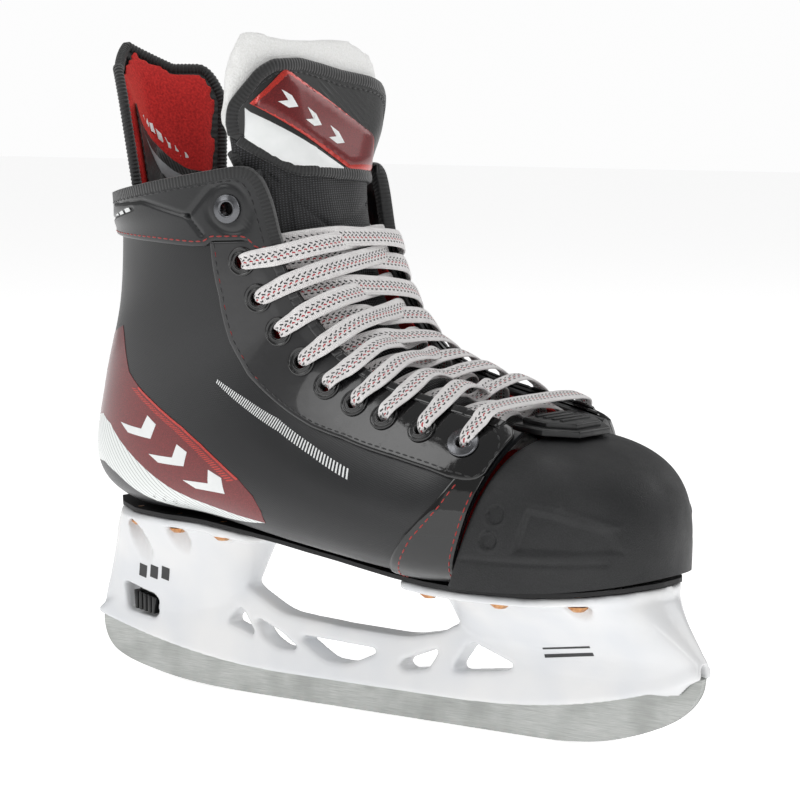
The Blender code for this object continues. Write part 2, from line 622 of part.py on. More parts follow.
def make_trigger():
    """The finger lever: a ribbed pad in the tower's window, an arm up to the pin and a nose at the post."""
    px, pz = TRIGGER_PIN
    nose_x = POST_REAR[0] - GAP
    arm = [(px - 3.6, pz + 2), (px, pz + 3.6), (px + 3.4, pz + 1.5), (px + 3.2, pz - 3),
           (nose_x, 33), (nose_x, 29), (nose_x - 2.4, 29), (-107.5, 31), (-110.4, 27.4), (-120.4, 29), (-121, 35.2), (px - 4, pz - 8)]
    lever = flat_outline("release_trigger", [arm], TRIGGER_HALF_WIDTH, "matte_black")
    pad = [(-109.4, 33.0), (-110.8, 26.6), (-120.6, 28.2), (-121.2, 35.6)]
    boolean(lever, flat_outline("pad_body", [pad], TRIGGER_PAD_HALF_WIDTH, cutter=True), "UNION")
    ribs = bmesh.new()
    for side in (LATERAL, MEDIAL):
        for i in range(4):
            x = -118.9 + 2.3 * i
            cube = bmesh.ops.create_cube(ribs, size=1)["verts"]
            bmesh.ops.scale(ribs, vec=(0.8, 1.0, 20), verts=cube)
            bmesh.ops.translate(ribs, vec=(x, side * (TRIGGER_PAD_HALF_WIDTH + 0.1), 32), verts=cube)
    boolean(lever, mesh_from(ribs, "rib_cutter", cutter=True))
    hub = bmesh.new()
    cylinder(hub, (px, 0, pz), Y_AXIS, TRIGGER_PIN_RADIUS + PIN_CLEARANCE, 60, 12)
    boolean(lever, mesh_from(hub, "lever_hole_cutter", cutter=True))
    seat = bmesh.new()
    seat_radius = SPRING_RADIUS + SPRING_WIRE + 0.5
    cylinder(seat, (px, TRIGGER_HALF_WIDTH, pz), Y_AXIS, seat_radius, 2 * (SPRING_TURNS + 0.6), 14)
    boolean(lever, mesh_from(seat, "spring_seat_cutter", cutter=True))
    pin = bmesh.new()
    cylinder(pin, (px, 0, pz), Y_AXIS, TRIGGER_PIN_RADIUS, 2 * PIN_HALF_LENGTH, 12)
    mesh_from(pin, "trigger_pin", "steel")
    make_spring()


def make_spring():
    px, pz = TRIGGER_PIN
    points = []
    start = TRIGGER_HALF_WIDTH - SPRING_TURNS - 0.1
    per_turn = 10
    for i in range(SPRING_TURNS * per_turn + 1):
        angle = math.tau * i / per_turn
        points.append((
            px + SPRING_RADIUS * math.cos(angle), start + i / per_turn, pz + SPRING_RADIUS * math.sin(angle)))
    wire("trigger_spring", points, SPRING_WIRE, "steel", resolution=1)


def wire(name, points, radius, finish, resolution=2):
    data = bpy.data.curves.new(name, "CURVE")
    data.dimensions = "3D"
    data.bevel_depth = radius * MM
    data.bevel_resolution = resolution
    data.use_fill_caps = True
    spline = data.splines.new("POLY")
    spline.points.add(len(points) - 1)
    for point, co in zip(spline.points, points):
        point.co = (*(c * MM for c in co), 1)
    return add_object(name, data, finish)


# ---------------------------------------------------------------- boot

def eyelet_stations():
    """Stations of the eyelet rows: the laced rows from the toe up, then the free top pair."""
    us = np.linspace(0, LAST, 401)
    line = np.array([wall_point(LATERAL, u, EYELET_INSET) for u in us])
    along = np.concatenate([[0], np.cumsum(np.linalg.norm(np.diff(line, axis=0), axis=1))])
    place = float(np.interp(EYELET_FIRST, us, along))
    rows = [EYELET_FIRST]
    for i in range(1, LACED_ROWS):
        place += EYELET_PITCH_FRONT if i <= 2 else EYELET_PITCH
        rows.append(float(np.interp(place, along, us)))
    return rows + [TOP_EYELET_STATION]


def eyelet_cutter(side, label, radius=EYELET_HOLE):
    bm = bmesh.new()
    for u in eyelet_stations():
        cylinder(bm, on_wall(side, u, EYELET_INSET), wall_normal(side, u, EYELET_INSET), radius, 16, 8)
    return mesh_from(bm, f"eyelet_hole_cutter_{SIDE_NAMES[side]}_{label}", cutter=True)


# Stations and girths that the shell and everything laid on it share, so that their facets run parallel.
BAND_STATIONS = (0.0, 0.12, 0.35, 0.85)
BODY_STATIONS = tuple(np.linspace(1.3, 7.95, 14))
COLLAR_STATIONS = (8.05, 8.6, 9.2, 9.6, 9.85, 10.0)
FACING_GIRTHS = (0.0, 7.0, 14.5, 22.0, FACING_WIDTH)
LOWER_STEPS = 8


def girths(u):
    """Distances from the throat's edge where the grid lines run, down to the middle of the sole."""
    lower = np.linspace(FACING_WIDTH, girth(u), LOWER_STEPS + 1)[1:]
    return list(FACING_GIRTHS) + [float(w) for w in lower]


def make_shell():
    rows = []
    for u in BAND_STATIONS + BODY_STATIONS + COLLAR_STATIONS:
        ws = girths(u)
        rows.append([on_wall(LATERAL, u, w) for w in ws] + [on_wall(MEDIAL, u, w) for w in ws[-2::-1]])
    shell = sheet("boot_shell", rows, SHELL_WALL, "composite_black", BOOT_MIDDLE)
    for side in (LATERAL, MEDIAL):
        boolean(shell, eyelet_cutter(side, "shell"))
    return shell


def overlay(name, side, stations, columns, thickness, finish, trim=None):
    """A piece laid on the shell between two grid columns. trim(u) narrows it to (low, high) girths."""
    rows = []
    for u in stations:
        ws = girths(u)[columns[0]:columns[1]]
        low, high = trim(u, ws) if trim else (ws[0], ws[-1])
        share = [(w - ws[0]) / (ws[-1] - ws[0]) for w in ws]
        rows.append([on_wall(side, u, low + (high - low) * t, GAP + thickness) for t in share])
    return sheet(f"{name}_{SIDE_NAMES[side]}", rows, thickness, finish, BOOT_MIDDLE)


def make_facings():
    """The eyelet facings, glossy strips along the throat with a rounded front lobe."""
    def lobe(u, ws):
        curve = 9.0 * (1 - math.sqrt(max(1 - (1 - min(u / 0.55, 1)) ** 2, 0)))
        return ws[0] + 0.3 + curve, ws[-1] - curve

    for side in (LATERAL, MEDIAL):
        facing = overlay("facing", side, BAND_STATIONS + BODY_STATIONS, (0, len(FACING_GIRTHS)),
                         FACING_THICKNESS, "gloss_black", lobe)
        boolean(facing, eyelet_cutter(side, "facing"))


def make_collars():
    def corner(u, ws):
        share = max(u - 9.2, 0) / 0.8
        return ws[0] + 0.3 + 9.0 * (1 - math.sqrt(max(1 - share ** 2, 0))), ws[-1]

    for side in (LATERAL, MEDIAL):
        collar = overlay("collar", side, COLLAR_STATIONS, (0, -1), COLLAR_THICKNESS, "composite_black",
                         corner)
        boolean(collar, eyelet_cutter(side, "collar"))
        rows = []
        for u in COLLAR_STATIONS[:-1]:
            ws = girths(u)[2:-4]
            rows.append([on_wall(side, u, w, -SHELL_WALL - GAP) for w in ws])
        sheet(f"collar_padding_{SIDE_NAMES[side]}", rows, PADDING_THICKNESS, "fabric_black", BOOT_MIDDLE)


def make_bands():
    """Glossy strips round the forefoot, just behind the toe cap."""
    for side in (LATERAL, MEDIAL):
        overlay("toe_band", side, BAND_STATIONS, (len(FACING_GIRTHS) - 1, -4), BAND_THICKNESS, "gloss_black",
                lambda u, ws: (ws[0] + GAP + 0.2, ws[-1]))


def make_liner():
    rows = []
    for u in BAND_STATIONS[1:] + BODY_STATIONS:
        ws = girths(u)[len(FACING_GIRTHS):]
        rows.append([on_wall(LATERAL, u, w, -SHELL_WALL - GAP) for w in ws]
                    + [on_wall(MEDIAL, u, w, -SHELL_WALL - GAP) for w in ws[-2::-1]])
    sheet("boot_liner", rows, LINER_THICKNESS, "fabric_black", BOOT_MIDDLE)


def make_soles():
    halves = [max(sole_at(x)[1], 3) for x in SOLE_XS]
    tops = [sole_at(x)[0] - GAP for x in SOLE_XS]
    outsole = plate("outsole", SOLE_XS, halves, tops, OUTSOLE_THICKNESS, "matte_black")
    boolean(outsole, bpy.data.objects["rivet_hole_cutter"])
    rise = SHELL_WALL + LINER_THICKNESS + 2 * GAP + FOOTBED_THICKNESS + FOOTBED_LIFT
    xs = [-110, -108, -102, -92, -72, -50, -25, 0, 25, 48, 70]
    halves = [sole_at(x)[1] - FOOTBED_INSET for x in xs]
    halves[0] = 6
    tops = [max(sole_at(x)[0], 60.4) + rise for x in xs]
    plate("footbed", xs, halves, tops, FOOTBED_THICKNESS, "fabric_red", columns=4)


def toe_point(theta, phi, lift=0.0):
    """Toe cap surface: theta round the front from the lateral seam, phi from the bottom to the top."""
    flat, high = max(math.cos(phi), 0) ** TOE_SQUARENESS, max(math.sin(phi), 0) ** TOE_SQUARENESS
    ahead = max(math.cos(theta), 0) ** TOE_PLAN_SQUARENESS
    aside = math.copysign(abs(math.sin(theta)) ** TOE_PLAN_SQUARENESS, theta)
    reach = ahead * flat * (1 - 0.035 * math.cos(phi) ** 6)
    z_share = high
    bottom = TOE_BOTTOM + 4.0 * ahead ** 3
    top = TOE_TOP_REAR + (TOE_TOP_FRONT - TOE_TOP_REAR) * reach
    z = bottom + (top - bottom) * z_share
    seam = seam_x(z) + GAP + 0.9
    x = seam + (TOE_FRONT - seam) * reach
    y = 1.5 + TOE_HALF_WIDTH * aside * flat
    return np.array((x, y, z))


def seam_x(z):
    """Where the boot's front plane lies at height z."""
    edge_x, edge_z, foot_x, foot_z = STATIONS[0][:4]
    return foot_x + (edge_x - foot_x) * (z - foot_z) / (edge_z - foot_z)


def make_toe_cap():
    rows = []
    thetas = np.radians(np.linspace(-90, 90, 25))
    for phi in np.radians((0, 8, 18, 30, 42, 54, 66, 77, 90)):
        rows.append([toe_point(theta, phi) for theta in thetas])
    lip = []
    for theta in thetas:
        p = toe_point(theta, 0)
        middle = np.array((p[0] * 0.5 + 40, 1.5, p[2]))
        inward = (middle - p) / np.linalg.norm(middle - p)
        inward[0] *= max(math.cos(theta), 0)
        lip.append(p + inward * 7 - Z_AXIS * 0.1)
    sheet("toe_cap", [lip] + rows, TOE_WALL, "matte_black", (78, 0, 82))


def make_toe_bridge():
    """The stepped plate on the cap where the tongue is sewn in."""
    bm = bmesh.new()
    outline = ((-9, -19), (4, -19), (14, -10), (14, 10), (4, 19), (-9, 19))
    rings = []
    for height, scale in ((0, 1.0), (2.6, 1.0), (3.2, 0.82), (4.6, 0.76)):
        rings.append([bm.verts.new((80 + x * scale, y * scale + 1.5, 113.6 + height - 0.1 * x))
                      for x, y in outline])
    for a, b in zip(rings[:-1], rings[1:]):
        for i in range(len(outline)):
            j = (i + 1) % len(outline)
            bm.faces.new((a[i], a[j], b[j], b[i]))
    bm.faces.new(rings[0])
    bm.faces.new(rings[-1])
    mesh_from(bm, "toe_bridge", "matte_black")


def tongue_sheet(name, us, columns, lift, thickness, finish, margin=None, top_rise=0.0):
    """A layer of the tongue on the shared grid. margin(u) adds a column beyond each edge."""
    rows = []
    for u in us:
        across = [cover_half(u) * s for s in columns]
        if margin:
            across = [across[0] - margin(u)] + across + [across[-1] + margin(u)]
        rows.append([tongue_point(u, w, lift) for w in across])
    if top_rise:
        last = rows[-1]
        rows.append([p + Z_AXIS * top_rise * 0.55 - X_AXIS * 1.0 for p in last])
        rows.append([p + Z_AXIS * top_rise - X_AXIS * 2.5 for p in last])
    return sheet(name, rows, thickness, finish, TONGUE_BACK)


def cover_half(u):
    """Half width of the tongue's face, which narrows to a rounded top."""
    return between(TONGUE, u)[4]


def make_tongue():
    columns = np.linspace(-1, 1, 9)
    rows = list(np.linspace(0.1, 9.4, 15)) + list(np.linspace(9.9, 11.9, 6))
    tongue_sheet("tongue_felt", rows, columns, -COVER_THICKNESS - GAP, FELT_THICKNESS, "felt_white",
                 margin=lambda u: 3.0 + 5.5 * min(max((u - 9) / 1.2, 0), 1), top_rise=FELT_TOP - 247)
    tongue_sheet("tongue_cover", rows, columns, 0, COVER_THICKNESS, "fabric_black")
    tongue_sheet("tongue_badge", rows[-7:-1], columns[1:-1], GAP + BADGE_THICKNESS, BADGE_THICKNESS,
                 "badge_red")


def guard_point(height, s, lift=0.0):
    """Tendon guard surface: s goes round the back from -1 to 1, height from 0 at its foot to 1 at its top."""
    shoulder = GUARD_TOP + (GUARD_SHOULDER - GUARD_TOP) * min(abs(s) / 0.5, 1)
    corner = max(abs(s) - 0.75, 0) / 0.25
    top = shoulder + (GUARD_CORNER - shoulder) * corner ** 2
    z = GUARD_BOTTOM + (top - GUARD_BOTTOM) * height
    share = (z - GUARD_BOTTOM) / (GUARD_TOP - GUARD_BOTTOM)
    back = GUARD_BACK_BOTTOM + (GUARD_BACK_TOP - GUARD_BACK_BOTTOM) * share ** 1.3 + lift
    edge = GUARD_EDGE_BOTTOM + (GUARD_EDGE_TOP - GUARD_EDGE_BOTTOM) * share + lift * 0.3
    half = GUARD_HALF_BOTTOM + (GUARD_HALF_TOP - GUARD_HALF_BOTTOM) * share - lift
    x = back + (edge - back) * abs(s) ** GUARD_ROUNDNESS
    return np.array((x, half * s, z))


def make_guard():
    spread = (-1, -0.93, -0.82, -0.7, -0.5, -0.3, -0.12, 0.12, 0.3, 0.5, 0.7, 0.82, 0.93, 1)
    rows = [[guard_point(share, s) for s in spread] for share in np.linspace(0, 1, 8)]
    sheet("tendon_guard", rows, GUARD_THICKNESS, "composite_black", GUARD_MIDDLE)
    inset = GUARD_THICKNESS + GAP + 0.3
    rows = [[guard_point(share, s * 0.95, inset) for s in spread] for share in np.linspace(0.03, 0.97, 7)]
    sheet("guard_lining", rows, GUARD_LINING_THICKNESS, "fabric_red", GUARD_MIDDLE)
    rows = [[on_wall(side, u, girth(u) - w, GAP + STRAP_THICKNESS) for side, w in STRAP_COLUMNS]
            for u in BODY_STATIONS[-2:] + COLLAR_STATIONS[:-1]]
    sheet("guard_strap", rows, STRAP_THICKNESS, "fabric_black", BOOT_MIDDLE)


def lace_strand(side, u_from, u_to, over, height):
    """Points of the lace from over the facing's edge on one side to under it on the other."""
    start = on_wall(side, u_from, -0.5, over)
    finish = on_wall(-side, u_to, 4.0, -LACE_UNDER)
    first, last = tongue_place(start), tongue_place(finish)
    off_start, off_finish = start - tongue_point(*first), finish - tongue_point(*last)
    points = []
    for t in LACE_STEPS:
        u, across, lift = (a + (b - a) * t for a, b in zip(first, last))
        bump = math.exp(-((t - 0.5) / 0.2) ** 2)
        lift = max(lift, LACE_RADIUS + GAP) * (1 - bump) + max(height, LACE_RADIUS + GAP) * bump
        points.append(tongue_point(u, across, lift) + off_start * (1 - t) + off_finish * t)
    return points


def through_eyelet(side, u, upwards):
    """Points of the lace through an eyelet, from under the shell to over the facing."""
    over = GAP + FACING_THICKNESS + EYELET_RIM + GAP + LACE_RADIUS + 0.8
    points = [on_wall(side, u, EYELET_INSET - 1.5, -LACE_UNDER - 0.4),
              on_wall(side, u, EYELET_INSET, -LACE_UNDER + 1.8),
              on_wall(side, u, EYELET_INSET, over - 1.6),
              on_wall(side, u, EYELET_INSET - 1.8, over)]
    return points if upwards else points[::-1]


def lace_half(start_side):
    """One half of the lace, from the middle of the front bar to its tucked-in end."""
    us = eyelet_stations()[:LACED_ROWS]
    over = GAP + FACING_THICKNESS + LACE_RADIUS + 0.7
    side = start_side
    points = [on_wall(side, us[0], -1.0, over + 0.4), on_wall(side, us[0], 7.0, over + 0.3)]
    points += through_eyelet(side, us[0], False)
    for i in range(1, LACED_ROWS + 1):
        low = i == 1
        last = i == LACED_ROWS
        gap = EYELET_ROW_STEP if last else us[i] - us[i - 1]
        u_from, u_to = us[i - 1] + 0.12 * gap, us[i - 1] + 0.9 * gap
        on_top = (side == LATERAL) == (i % 2 == 0)
        height = LACE_LOW + (LACE_STEP if on_top else 0)
        if low:
            points.append(on_wall(side, us[0] + 0.05 * gap, 5.0, -LACE_UNDER))
            points += lace_strand(side, u_from, u_to, -LACE_UNDER, height)
        else:
            points.append(on_wall(side, us[i - 1] + 0.05 * gap, 6.0, over))
            points += lace_strand(side, u_from, u_to, over, height)
        side = -side
        if not last:
            points += through_eyelet(side, us[i], True)
    return points


def make_lace():
    """One flat lace, criss-crossed from the front pair up, with its ends tucked in beside the tongue."""
    halves = [lace_half(side) for side in (LATERAL, MEDIAL)]
    ends = []
    for side, half in zip((LATERAL, MEDIAL), halves):
        end_side = side if LACED_ROWS % 2 == 0 else -side
        u = eyelet_stations()[LACED_ROWS - 1] + EYELET_ROW_STEP
        half.append(on_wall(end_side, u + 0.15, 7.5, -LACE_UNDER - 0.2))
        half.append(on_wall(end_side, u + 0.5, 8.2, -LACE_UNDER - 0.2))
        way = half[-1] - half[-2]
        ends.append((half[-1], way / np.linalg.norm(way)))
    middle = (halves[0][0] + halves[1][0]) / 2 + Z_AXIS * 0.8
    wire("lace", halves[0][::-1] + [middle] + halves[1], LACE_RADIUS, "lace_white", resolution=1)
    for i, (place, way) in enumerate(ends):
        bm = bmesh.new()
        cylinder(bm, place + way * (GAP + TIP_LENGTH / 2), way, LACE_RADIUS, TIP_LENGTH, 8)
        mesh_from(bm, f"lace_tip_{i + 1}", "gloss_black")


def make_eyelets():
    rim = GAP + EYELET_RIM
    deep = FACING_THICKNESS + GAP + SHELL_WALL + 0.6
    profile = [(EYELET_BORE, rim), (EYELET_OUTER - 1.0, rim), (EYELET_OUTER, GAP),
               (EYELET_HOLE - 0.5, GAP), (EYELET_HOLE - 0.5, -deep), (EYELET_BORE, -deep)]
    for side in (LATERAL, MEDIAL):
        for i, u in enumerate(eyelet_stations()):
            metal = i in (0, LACED_ROWS)
            layer = COLLAR_THICKNESS if i == LACED_ROWS else FACING_THICKNESS
            place = on_wall(side, u, EYELET_INSET, GAP + layer)
            turned(f"eyelet_{SIDE_NAMES[side]}_{i + 1}", profile, place, wall_normal(side, u, EYELET_INSET),
                   "gunmetal" if metal else "gloss_black", steps=10)


def put_origin(name, place):
    """Moves an object's origin to a point on its joint's axis. The shape stays where it is."""
    obj = bpy.data.objects[name]
    offset = Vector(place) * MM
    obj.data.transform(Matrix.Translation(-offset))
    obj.location = offset


def clear_scene():
    for obj in list(bpy.data.objects):
        bpy.data.objects.remove(obj, do_unlink=True)


def main():
    clear_scene()
    make_runner()
    make_holder()
    make_rivets()
    make_trigger()
    make_shell()
    make_facings()
    make_collars()
    make_bands()
    make_liner()
    make_soles()
    make_toe_cap()
    make_toe_bridge()
    make_tongue()
    make_guard()
    make_eyelets()
    make_lace()
    put_origin("runner", (RUNNER_PIVOT[0], 0, RUNNER_PIVOT[1]))
    put_origin("release_trigger", (TRIGGER_PIN[0], 0, TRIGGER_PIN[1]))
    for name in ("tendon_guard", "guard_lining"):
        put_origin(name, (GUARD_PIVOT[0], 0, GUARD_PIVOT[1]))


main()
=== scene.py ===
"""Looks of a laced ice hockey skate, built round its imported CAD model.

+X points to the toe, +Y to the medial side and +Z up; the ice is at z = 0. Sizes are in millimetres
and meshes are scaled to metres as they are made. The boot's surface is addressed by station u, from the
toe seam (0) to the collar's rim (10), and girth w, in mm round from the edge of the throat.
"""

import json
import math

import bmesh
import bpy
import numpy as np
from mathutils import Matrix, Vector
from mathutils.bvhtree import BVHTree

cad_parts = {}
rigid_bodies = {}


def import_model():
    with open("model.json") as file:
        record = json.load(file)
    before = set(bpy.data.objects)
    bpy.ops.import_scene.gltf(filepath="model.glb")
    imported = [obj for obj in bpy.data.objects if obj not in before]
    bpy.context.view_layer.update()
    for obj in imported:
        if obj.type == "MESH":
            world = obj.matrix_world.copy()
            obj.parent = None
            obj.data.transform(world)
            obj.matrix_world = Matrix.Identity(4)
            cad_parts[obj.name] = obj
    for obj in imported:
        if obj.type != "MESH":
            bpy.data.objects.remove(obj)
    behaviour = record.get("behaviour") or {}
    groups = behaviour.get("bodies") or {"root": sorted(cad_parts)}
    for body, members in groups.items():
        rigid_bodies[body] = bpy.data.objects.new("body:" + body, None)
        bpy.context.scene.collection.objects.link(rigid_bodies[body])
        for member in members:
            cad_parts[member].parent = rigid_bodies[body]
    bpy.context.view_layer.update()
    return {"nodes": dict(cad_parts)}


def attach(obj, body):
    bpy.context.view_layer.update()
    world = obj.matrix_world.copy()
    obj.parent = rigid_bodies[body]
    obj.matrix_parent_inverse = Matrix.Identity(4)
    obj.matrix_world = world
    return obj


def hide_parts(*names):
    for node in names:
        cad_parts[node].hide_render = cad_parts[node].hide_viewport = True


for old in list(bpy.data.objects):
    bpy.data.objects.remove(old, do_unlink=True)
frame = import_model()

MM = 0.001
GAP = 0.4
LATERAL, MEDIAL = -1, 1
SIDES = {LATERAL: "lateral", MEDIAL: "medial"}
Y_AXIS, Z_AXIS = np.array((0, 1.0, 0)), np.array((0, 0, 1.0))

# ---------------------------------------------------------------- sizes shared with the CAD model

SHELL_WALL = 2.4
FACING_THICKNESS = 1.6
COLLAR_THICKNESS = 1.9
BAND_THICKNESS = 1.2
LINER_THICKNESS = 3.0
EDGE_ANGLE = math.radians(38)
STATIONS = np.array((
    (81, 115.5, 62, 59.6, 27, 47.5, 0.60, 4.0, 1.5),
    (64, 120.0, 36, 60.4, 27, 50.0, 0.60, 3.9, -0.5),
    (36, 126.0, -16, 65.4, 27, 46.0, 0.58, 3.5, -1.0),
    (15, 133.0, -68, 71.2, 27.5, 42.0, 0.50, 3.1, -0.5),
    (2, 141.5, -112, 73.0, 29, 40.0, 0.42, 2.6, 0),
    (-8, 152, -135.5, 86.5, 30.5, 39.5, 0.36, 2.15, 0),
    (-15.5, 162, -132.0, 118, 32, 41.0, 0.34, 2.0, 0),
    (-20.5, 171.5, -122.5, 150, 33.5, 42.0, 0.34, 2.0, 0),
    (-24, 180.5, -119.5, 177, 35, 42.5, 0.36, 2.0, 0),
    (-27, 193.5, -118.5, 185, 36, 43.0, 0.38, 2.1, 0),
    (-29, 206.5, -117.5, 192, 37, 43.5, 0.40, 2.2, 0),
))
LAST = len(STATIONS) - 1
TONGUE = np.array((
    (68, 113.0, 0, 31, 22), (57, 116.5, 0, 31, 26), (41, 121.5, 0, 31, 28), (24, 129, 0, 31, 29),
    (8, 139, 0, 32, 30), (-3.5, 151.5, 0, 33, 32), (-10.5, 165, 0, 34, 34), (-15, 179, 2, 31, 36),
    (-18.5, 193, 5, 28, 38), (-21, 207, 9, 28, 43), (-23.5, 221, 17, 34, 52), (-25.5, 235, 20, 38, 47),
    (-27, 246.5, 22, 40, 34),
))
EYELET_INSET = 14.5
EYELET_FIRST = 0.80
EYELET_PITCH = 14.9
EYELET_PITCH_FRONT = 18.0
LACED_ROWS = 9
TOP_EYELET_STATION = 8.95
EYELET_HOLE = 3.5
LACE_UNDER = 4.7
LACE_LOW, LACE_STEP = 2.2, 3.2
TOE_FRONT, TOE_BOTTOM, TOE_TOP_REAR, TOE_TOP_FRONT, TOE_HALF_WIDTH = 129.0, 60.5, 112.5, 107.0, 49.0
TOE_SQUARENESS, TOE_PLAN_SQUARENESS, TOE_WALL = 0.62, 0.92, 2.6
GUARD_BOTTOM, GUARD_TOP, GUARD_SHOULDER, GUARD_CORNER = 182.0, 253.0, 244.0, 230.0
GUARD_HALF_BOTTOM, GUARD_HALF_TOP = 25.0, 34.0
GUARD_BACK_BOTTOM, GUARD_BACK_TOP = -113.8, -129.0
GUARD_EDGE_BOTTOM, GUARD_EDGE_TOP = -99.0, -105.0
GUARD_THICKNESS = 2.2


def between(table, u):
    """A row of the table at fractional index u, on a smooth curve through the rows."""
    u = min(max(u, 0.0), len(table) - 1.0)
    i = min(int(u), len(table) - 2)
    t = u - i
    p0, p1, p2, p3 = (table[min(max(i + k, 0), len(table) - 1)] for k in (-1, 0, 1, 2))
    return p1 + 0.5 * t * (p2 - p0 + t * (2 * p0 - 5 * p1 + 4 * p2 - p3 + t * (3 * (p1 - p2) + p3 - p0)))


def half_section(u, steps=64):
    """One side of the boot's outer section: distances from the throat's edge, and half widths."""
    row = between(STATIONS, u)
    height = math.hypot(row[2] - row[0], row[3] - row[1])
    gap, wide, widest, square = row[4], row[5], row[6] * height, row[7]
    upper = np.linspace(EDGE_ANGLE, math.pi / 2, steps)
    c0, s0 = math.cos(EDGE_ANGLE), math.sin(EDGE_ANGLE)
    down = [widest * (c0 - np.cos(upper)) / c0]
    out = [gap + (wide - gap) * (np.sin(upper) - s0) / (1 - s0)]
    lower = np.linspace(0, math.pi / 2, steps)[1:]
    down.append(widest + (height - widest) * np.sin(lower) ** (2 / square))
    out.append(wide * np.maximum(np.cos(lower), 0) ** (2 / square))
    return np.concatenate(down), np.concatenate(out)


def girth(u):
    """Length in mm from the throat round to the sole at station u."""
    down, out = half_section(u)
    return float(np.hypot(np.diff(down), np.diff(out)).sum())


def wall_row(side, u, ws):
    """Points of the boot's outer surface at station u. Past the girth they carry on up the other side."""
    row = between(STATIONS, u)
    down, out = half_section(u)
    along = np.concatenate([[0], np.cumsum(np.hypot(np.diff(down), np.diff(out)))])
    reach = along[-1]
    past = ws > reach
    w = np.where(past, 2 * reach - ws, ws)
    s = np.interp(w, along, down) + 0.8 * np.minimum(w, 0)
    y = np.interp(w, along, out) + 0.6 * np.minimum(w, 0)
    edge, foot = np.array((row[0], 0, row[1])), np.array((row[2], 0, row[3]))
    way = (foot - edge) / np.linalg.norm(foot - edge)
    return edge + np.outer(s, way) + np.outer(np.where(past, -side, side) * y + row[8], Y_AXIS)


class Surface:
    """Points and outward normals on a dense grid, read between its lines."""

    def __init__(self, points, normals, low, step):
        self.points, self.normals, self.low, self.step = points, normals, low, step

    def __call__(self, a, b, lift=0.0):
        a, b, lift = np.broadcast_arrays(*(np.asarray(v, float) for v in (a, b, lift)))
        x = np.clip((a - self.low[0]) / self.step[0], 0, self.points.shape[0] - 1.001)
        y = np.clip((b - self.low[1]) / self.step[1], 0, self.points.shape[1] - 1.001)
        i, j = x.astype(int), y.astype(int)
        s, t = (x - i)[..., None], (y - j)[..., None]

        def read(values):
            return ((values[i, j] * (1 - s) + values[i + 1, j] * s) * (1 - t)
                    + (values[i, j + 1] * (1 - s) + values[i + 1, j + 1] * s) * t)

        normal = read(self.normals)
        normal = normal / np.linalg.norm(normal, axis=-1, keepdims=True)
        return read(self.points) + normal * lift[..., None]

    def normal(self, a, b):
        return self(a, b, 1.0) - self(a, b, 0.0)


def wall_surface(side):
    us, ws = np.linspace(0, LAST, 401), np.arange(-4, 330, 0.8)
    du, dw = 0.12, 1.5
    points, normals = [], []
    for u in us:
        points.append(wall_row(side, u, ws))
        a = wall_row(side, min(u + du, LAST), ws) - wall_row(side, max(u - du, 0), ws)
        b = wall_row(side, u, ws + dw) - wall_row(side, u, np.maximum(ws - dw, 0))
        n = np.cross(a, b) * -side
        normals.append(n / np.linalg.norm(n, axis=1, keepdims=True))
    return Surface(np.array(points), np.array(normals), (0, -4), (us[1], 0.8))


WALL = {side: wall_surface(side) for side in (LATERAL, MEDIAL)}


def tongue(u, across, lift=0.0):
    """Points of the tongue's outer face: row u, mm round from its middle line."""
    u, across, lift = np.broadcast_arrays(*(np.asarray(v, float) for v in (u, across, lift)))
    table = np.linspace(0, len(TONGUE) - 1, 481)
    rows = np.array([between(TONGUE, v) for v in table])
    ahead = np.gradient(rows[:, [0, 1]], axis=0)
    front = np.stack([ahead[:, 1], np.zeros(len(table)), -ahead[:, 0]], 1)
    front /= np.linalg.norm(front, axis=1, keepdims=True)
    x, z, flat, radius = (np.interp(u, table, rows[:, k]) for k in range(4))
    n = np.stack([np.interp(u, table, front[:, k]) for k in range(3)], -1)
    n = n / np.linalg.norm(n, axis=-1, keepdims=True)
    beyond = np.maximum(np.abs(across) - flat, 0) / radius
    y = (np.minimum(np.abs(across), flat) + (radius + lift) * np.sin(beyond)) * np.sign(across)
    depth = (radius + lift) * np.cos(beyond) - radius
    return np.stack([x, y, z], -1) + n * depth[..., None]


def tongue_place(point):
    """(row, across, lift) of a point near the tongue's face."""
    us = np.linspace(0, len(TONGUE) - 1, 481)
    base, above = tongue(us, 0.0), tongue(us, 0.0, 1.0)
    front = above - base
    off = point - base
    k = int(np.argmin(np.abs(off[:, 0] * front[:, 2] - off[:, 2] * front[:, 0])))
    height = float(off[k] @ front[k])
    flat, radius = between(TONGUE, us[k])[2:4]
    beyond = abs(point[1]) - flat
    if beyond <= 0:
        return us[k], float(point[1]), height
    angle = math.atan2(beyond, height + radius)
    return us[k], math.copysign(flat + radius * angle, point[1]), math.hypot(beyond, height + radius) - radius


def seam_x(z):
    edge_x, edge_z, foot_x, foot_z = STATIONS[0][:4]
    return foot_x + (edge_x - foot_x) * (z - foot_z) / (edge_z - foot_z)


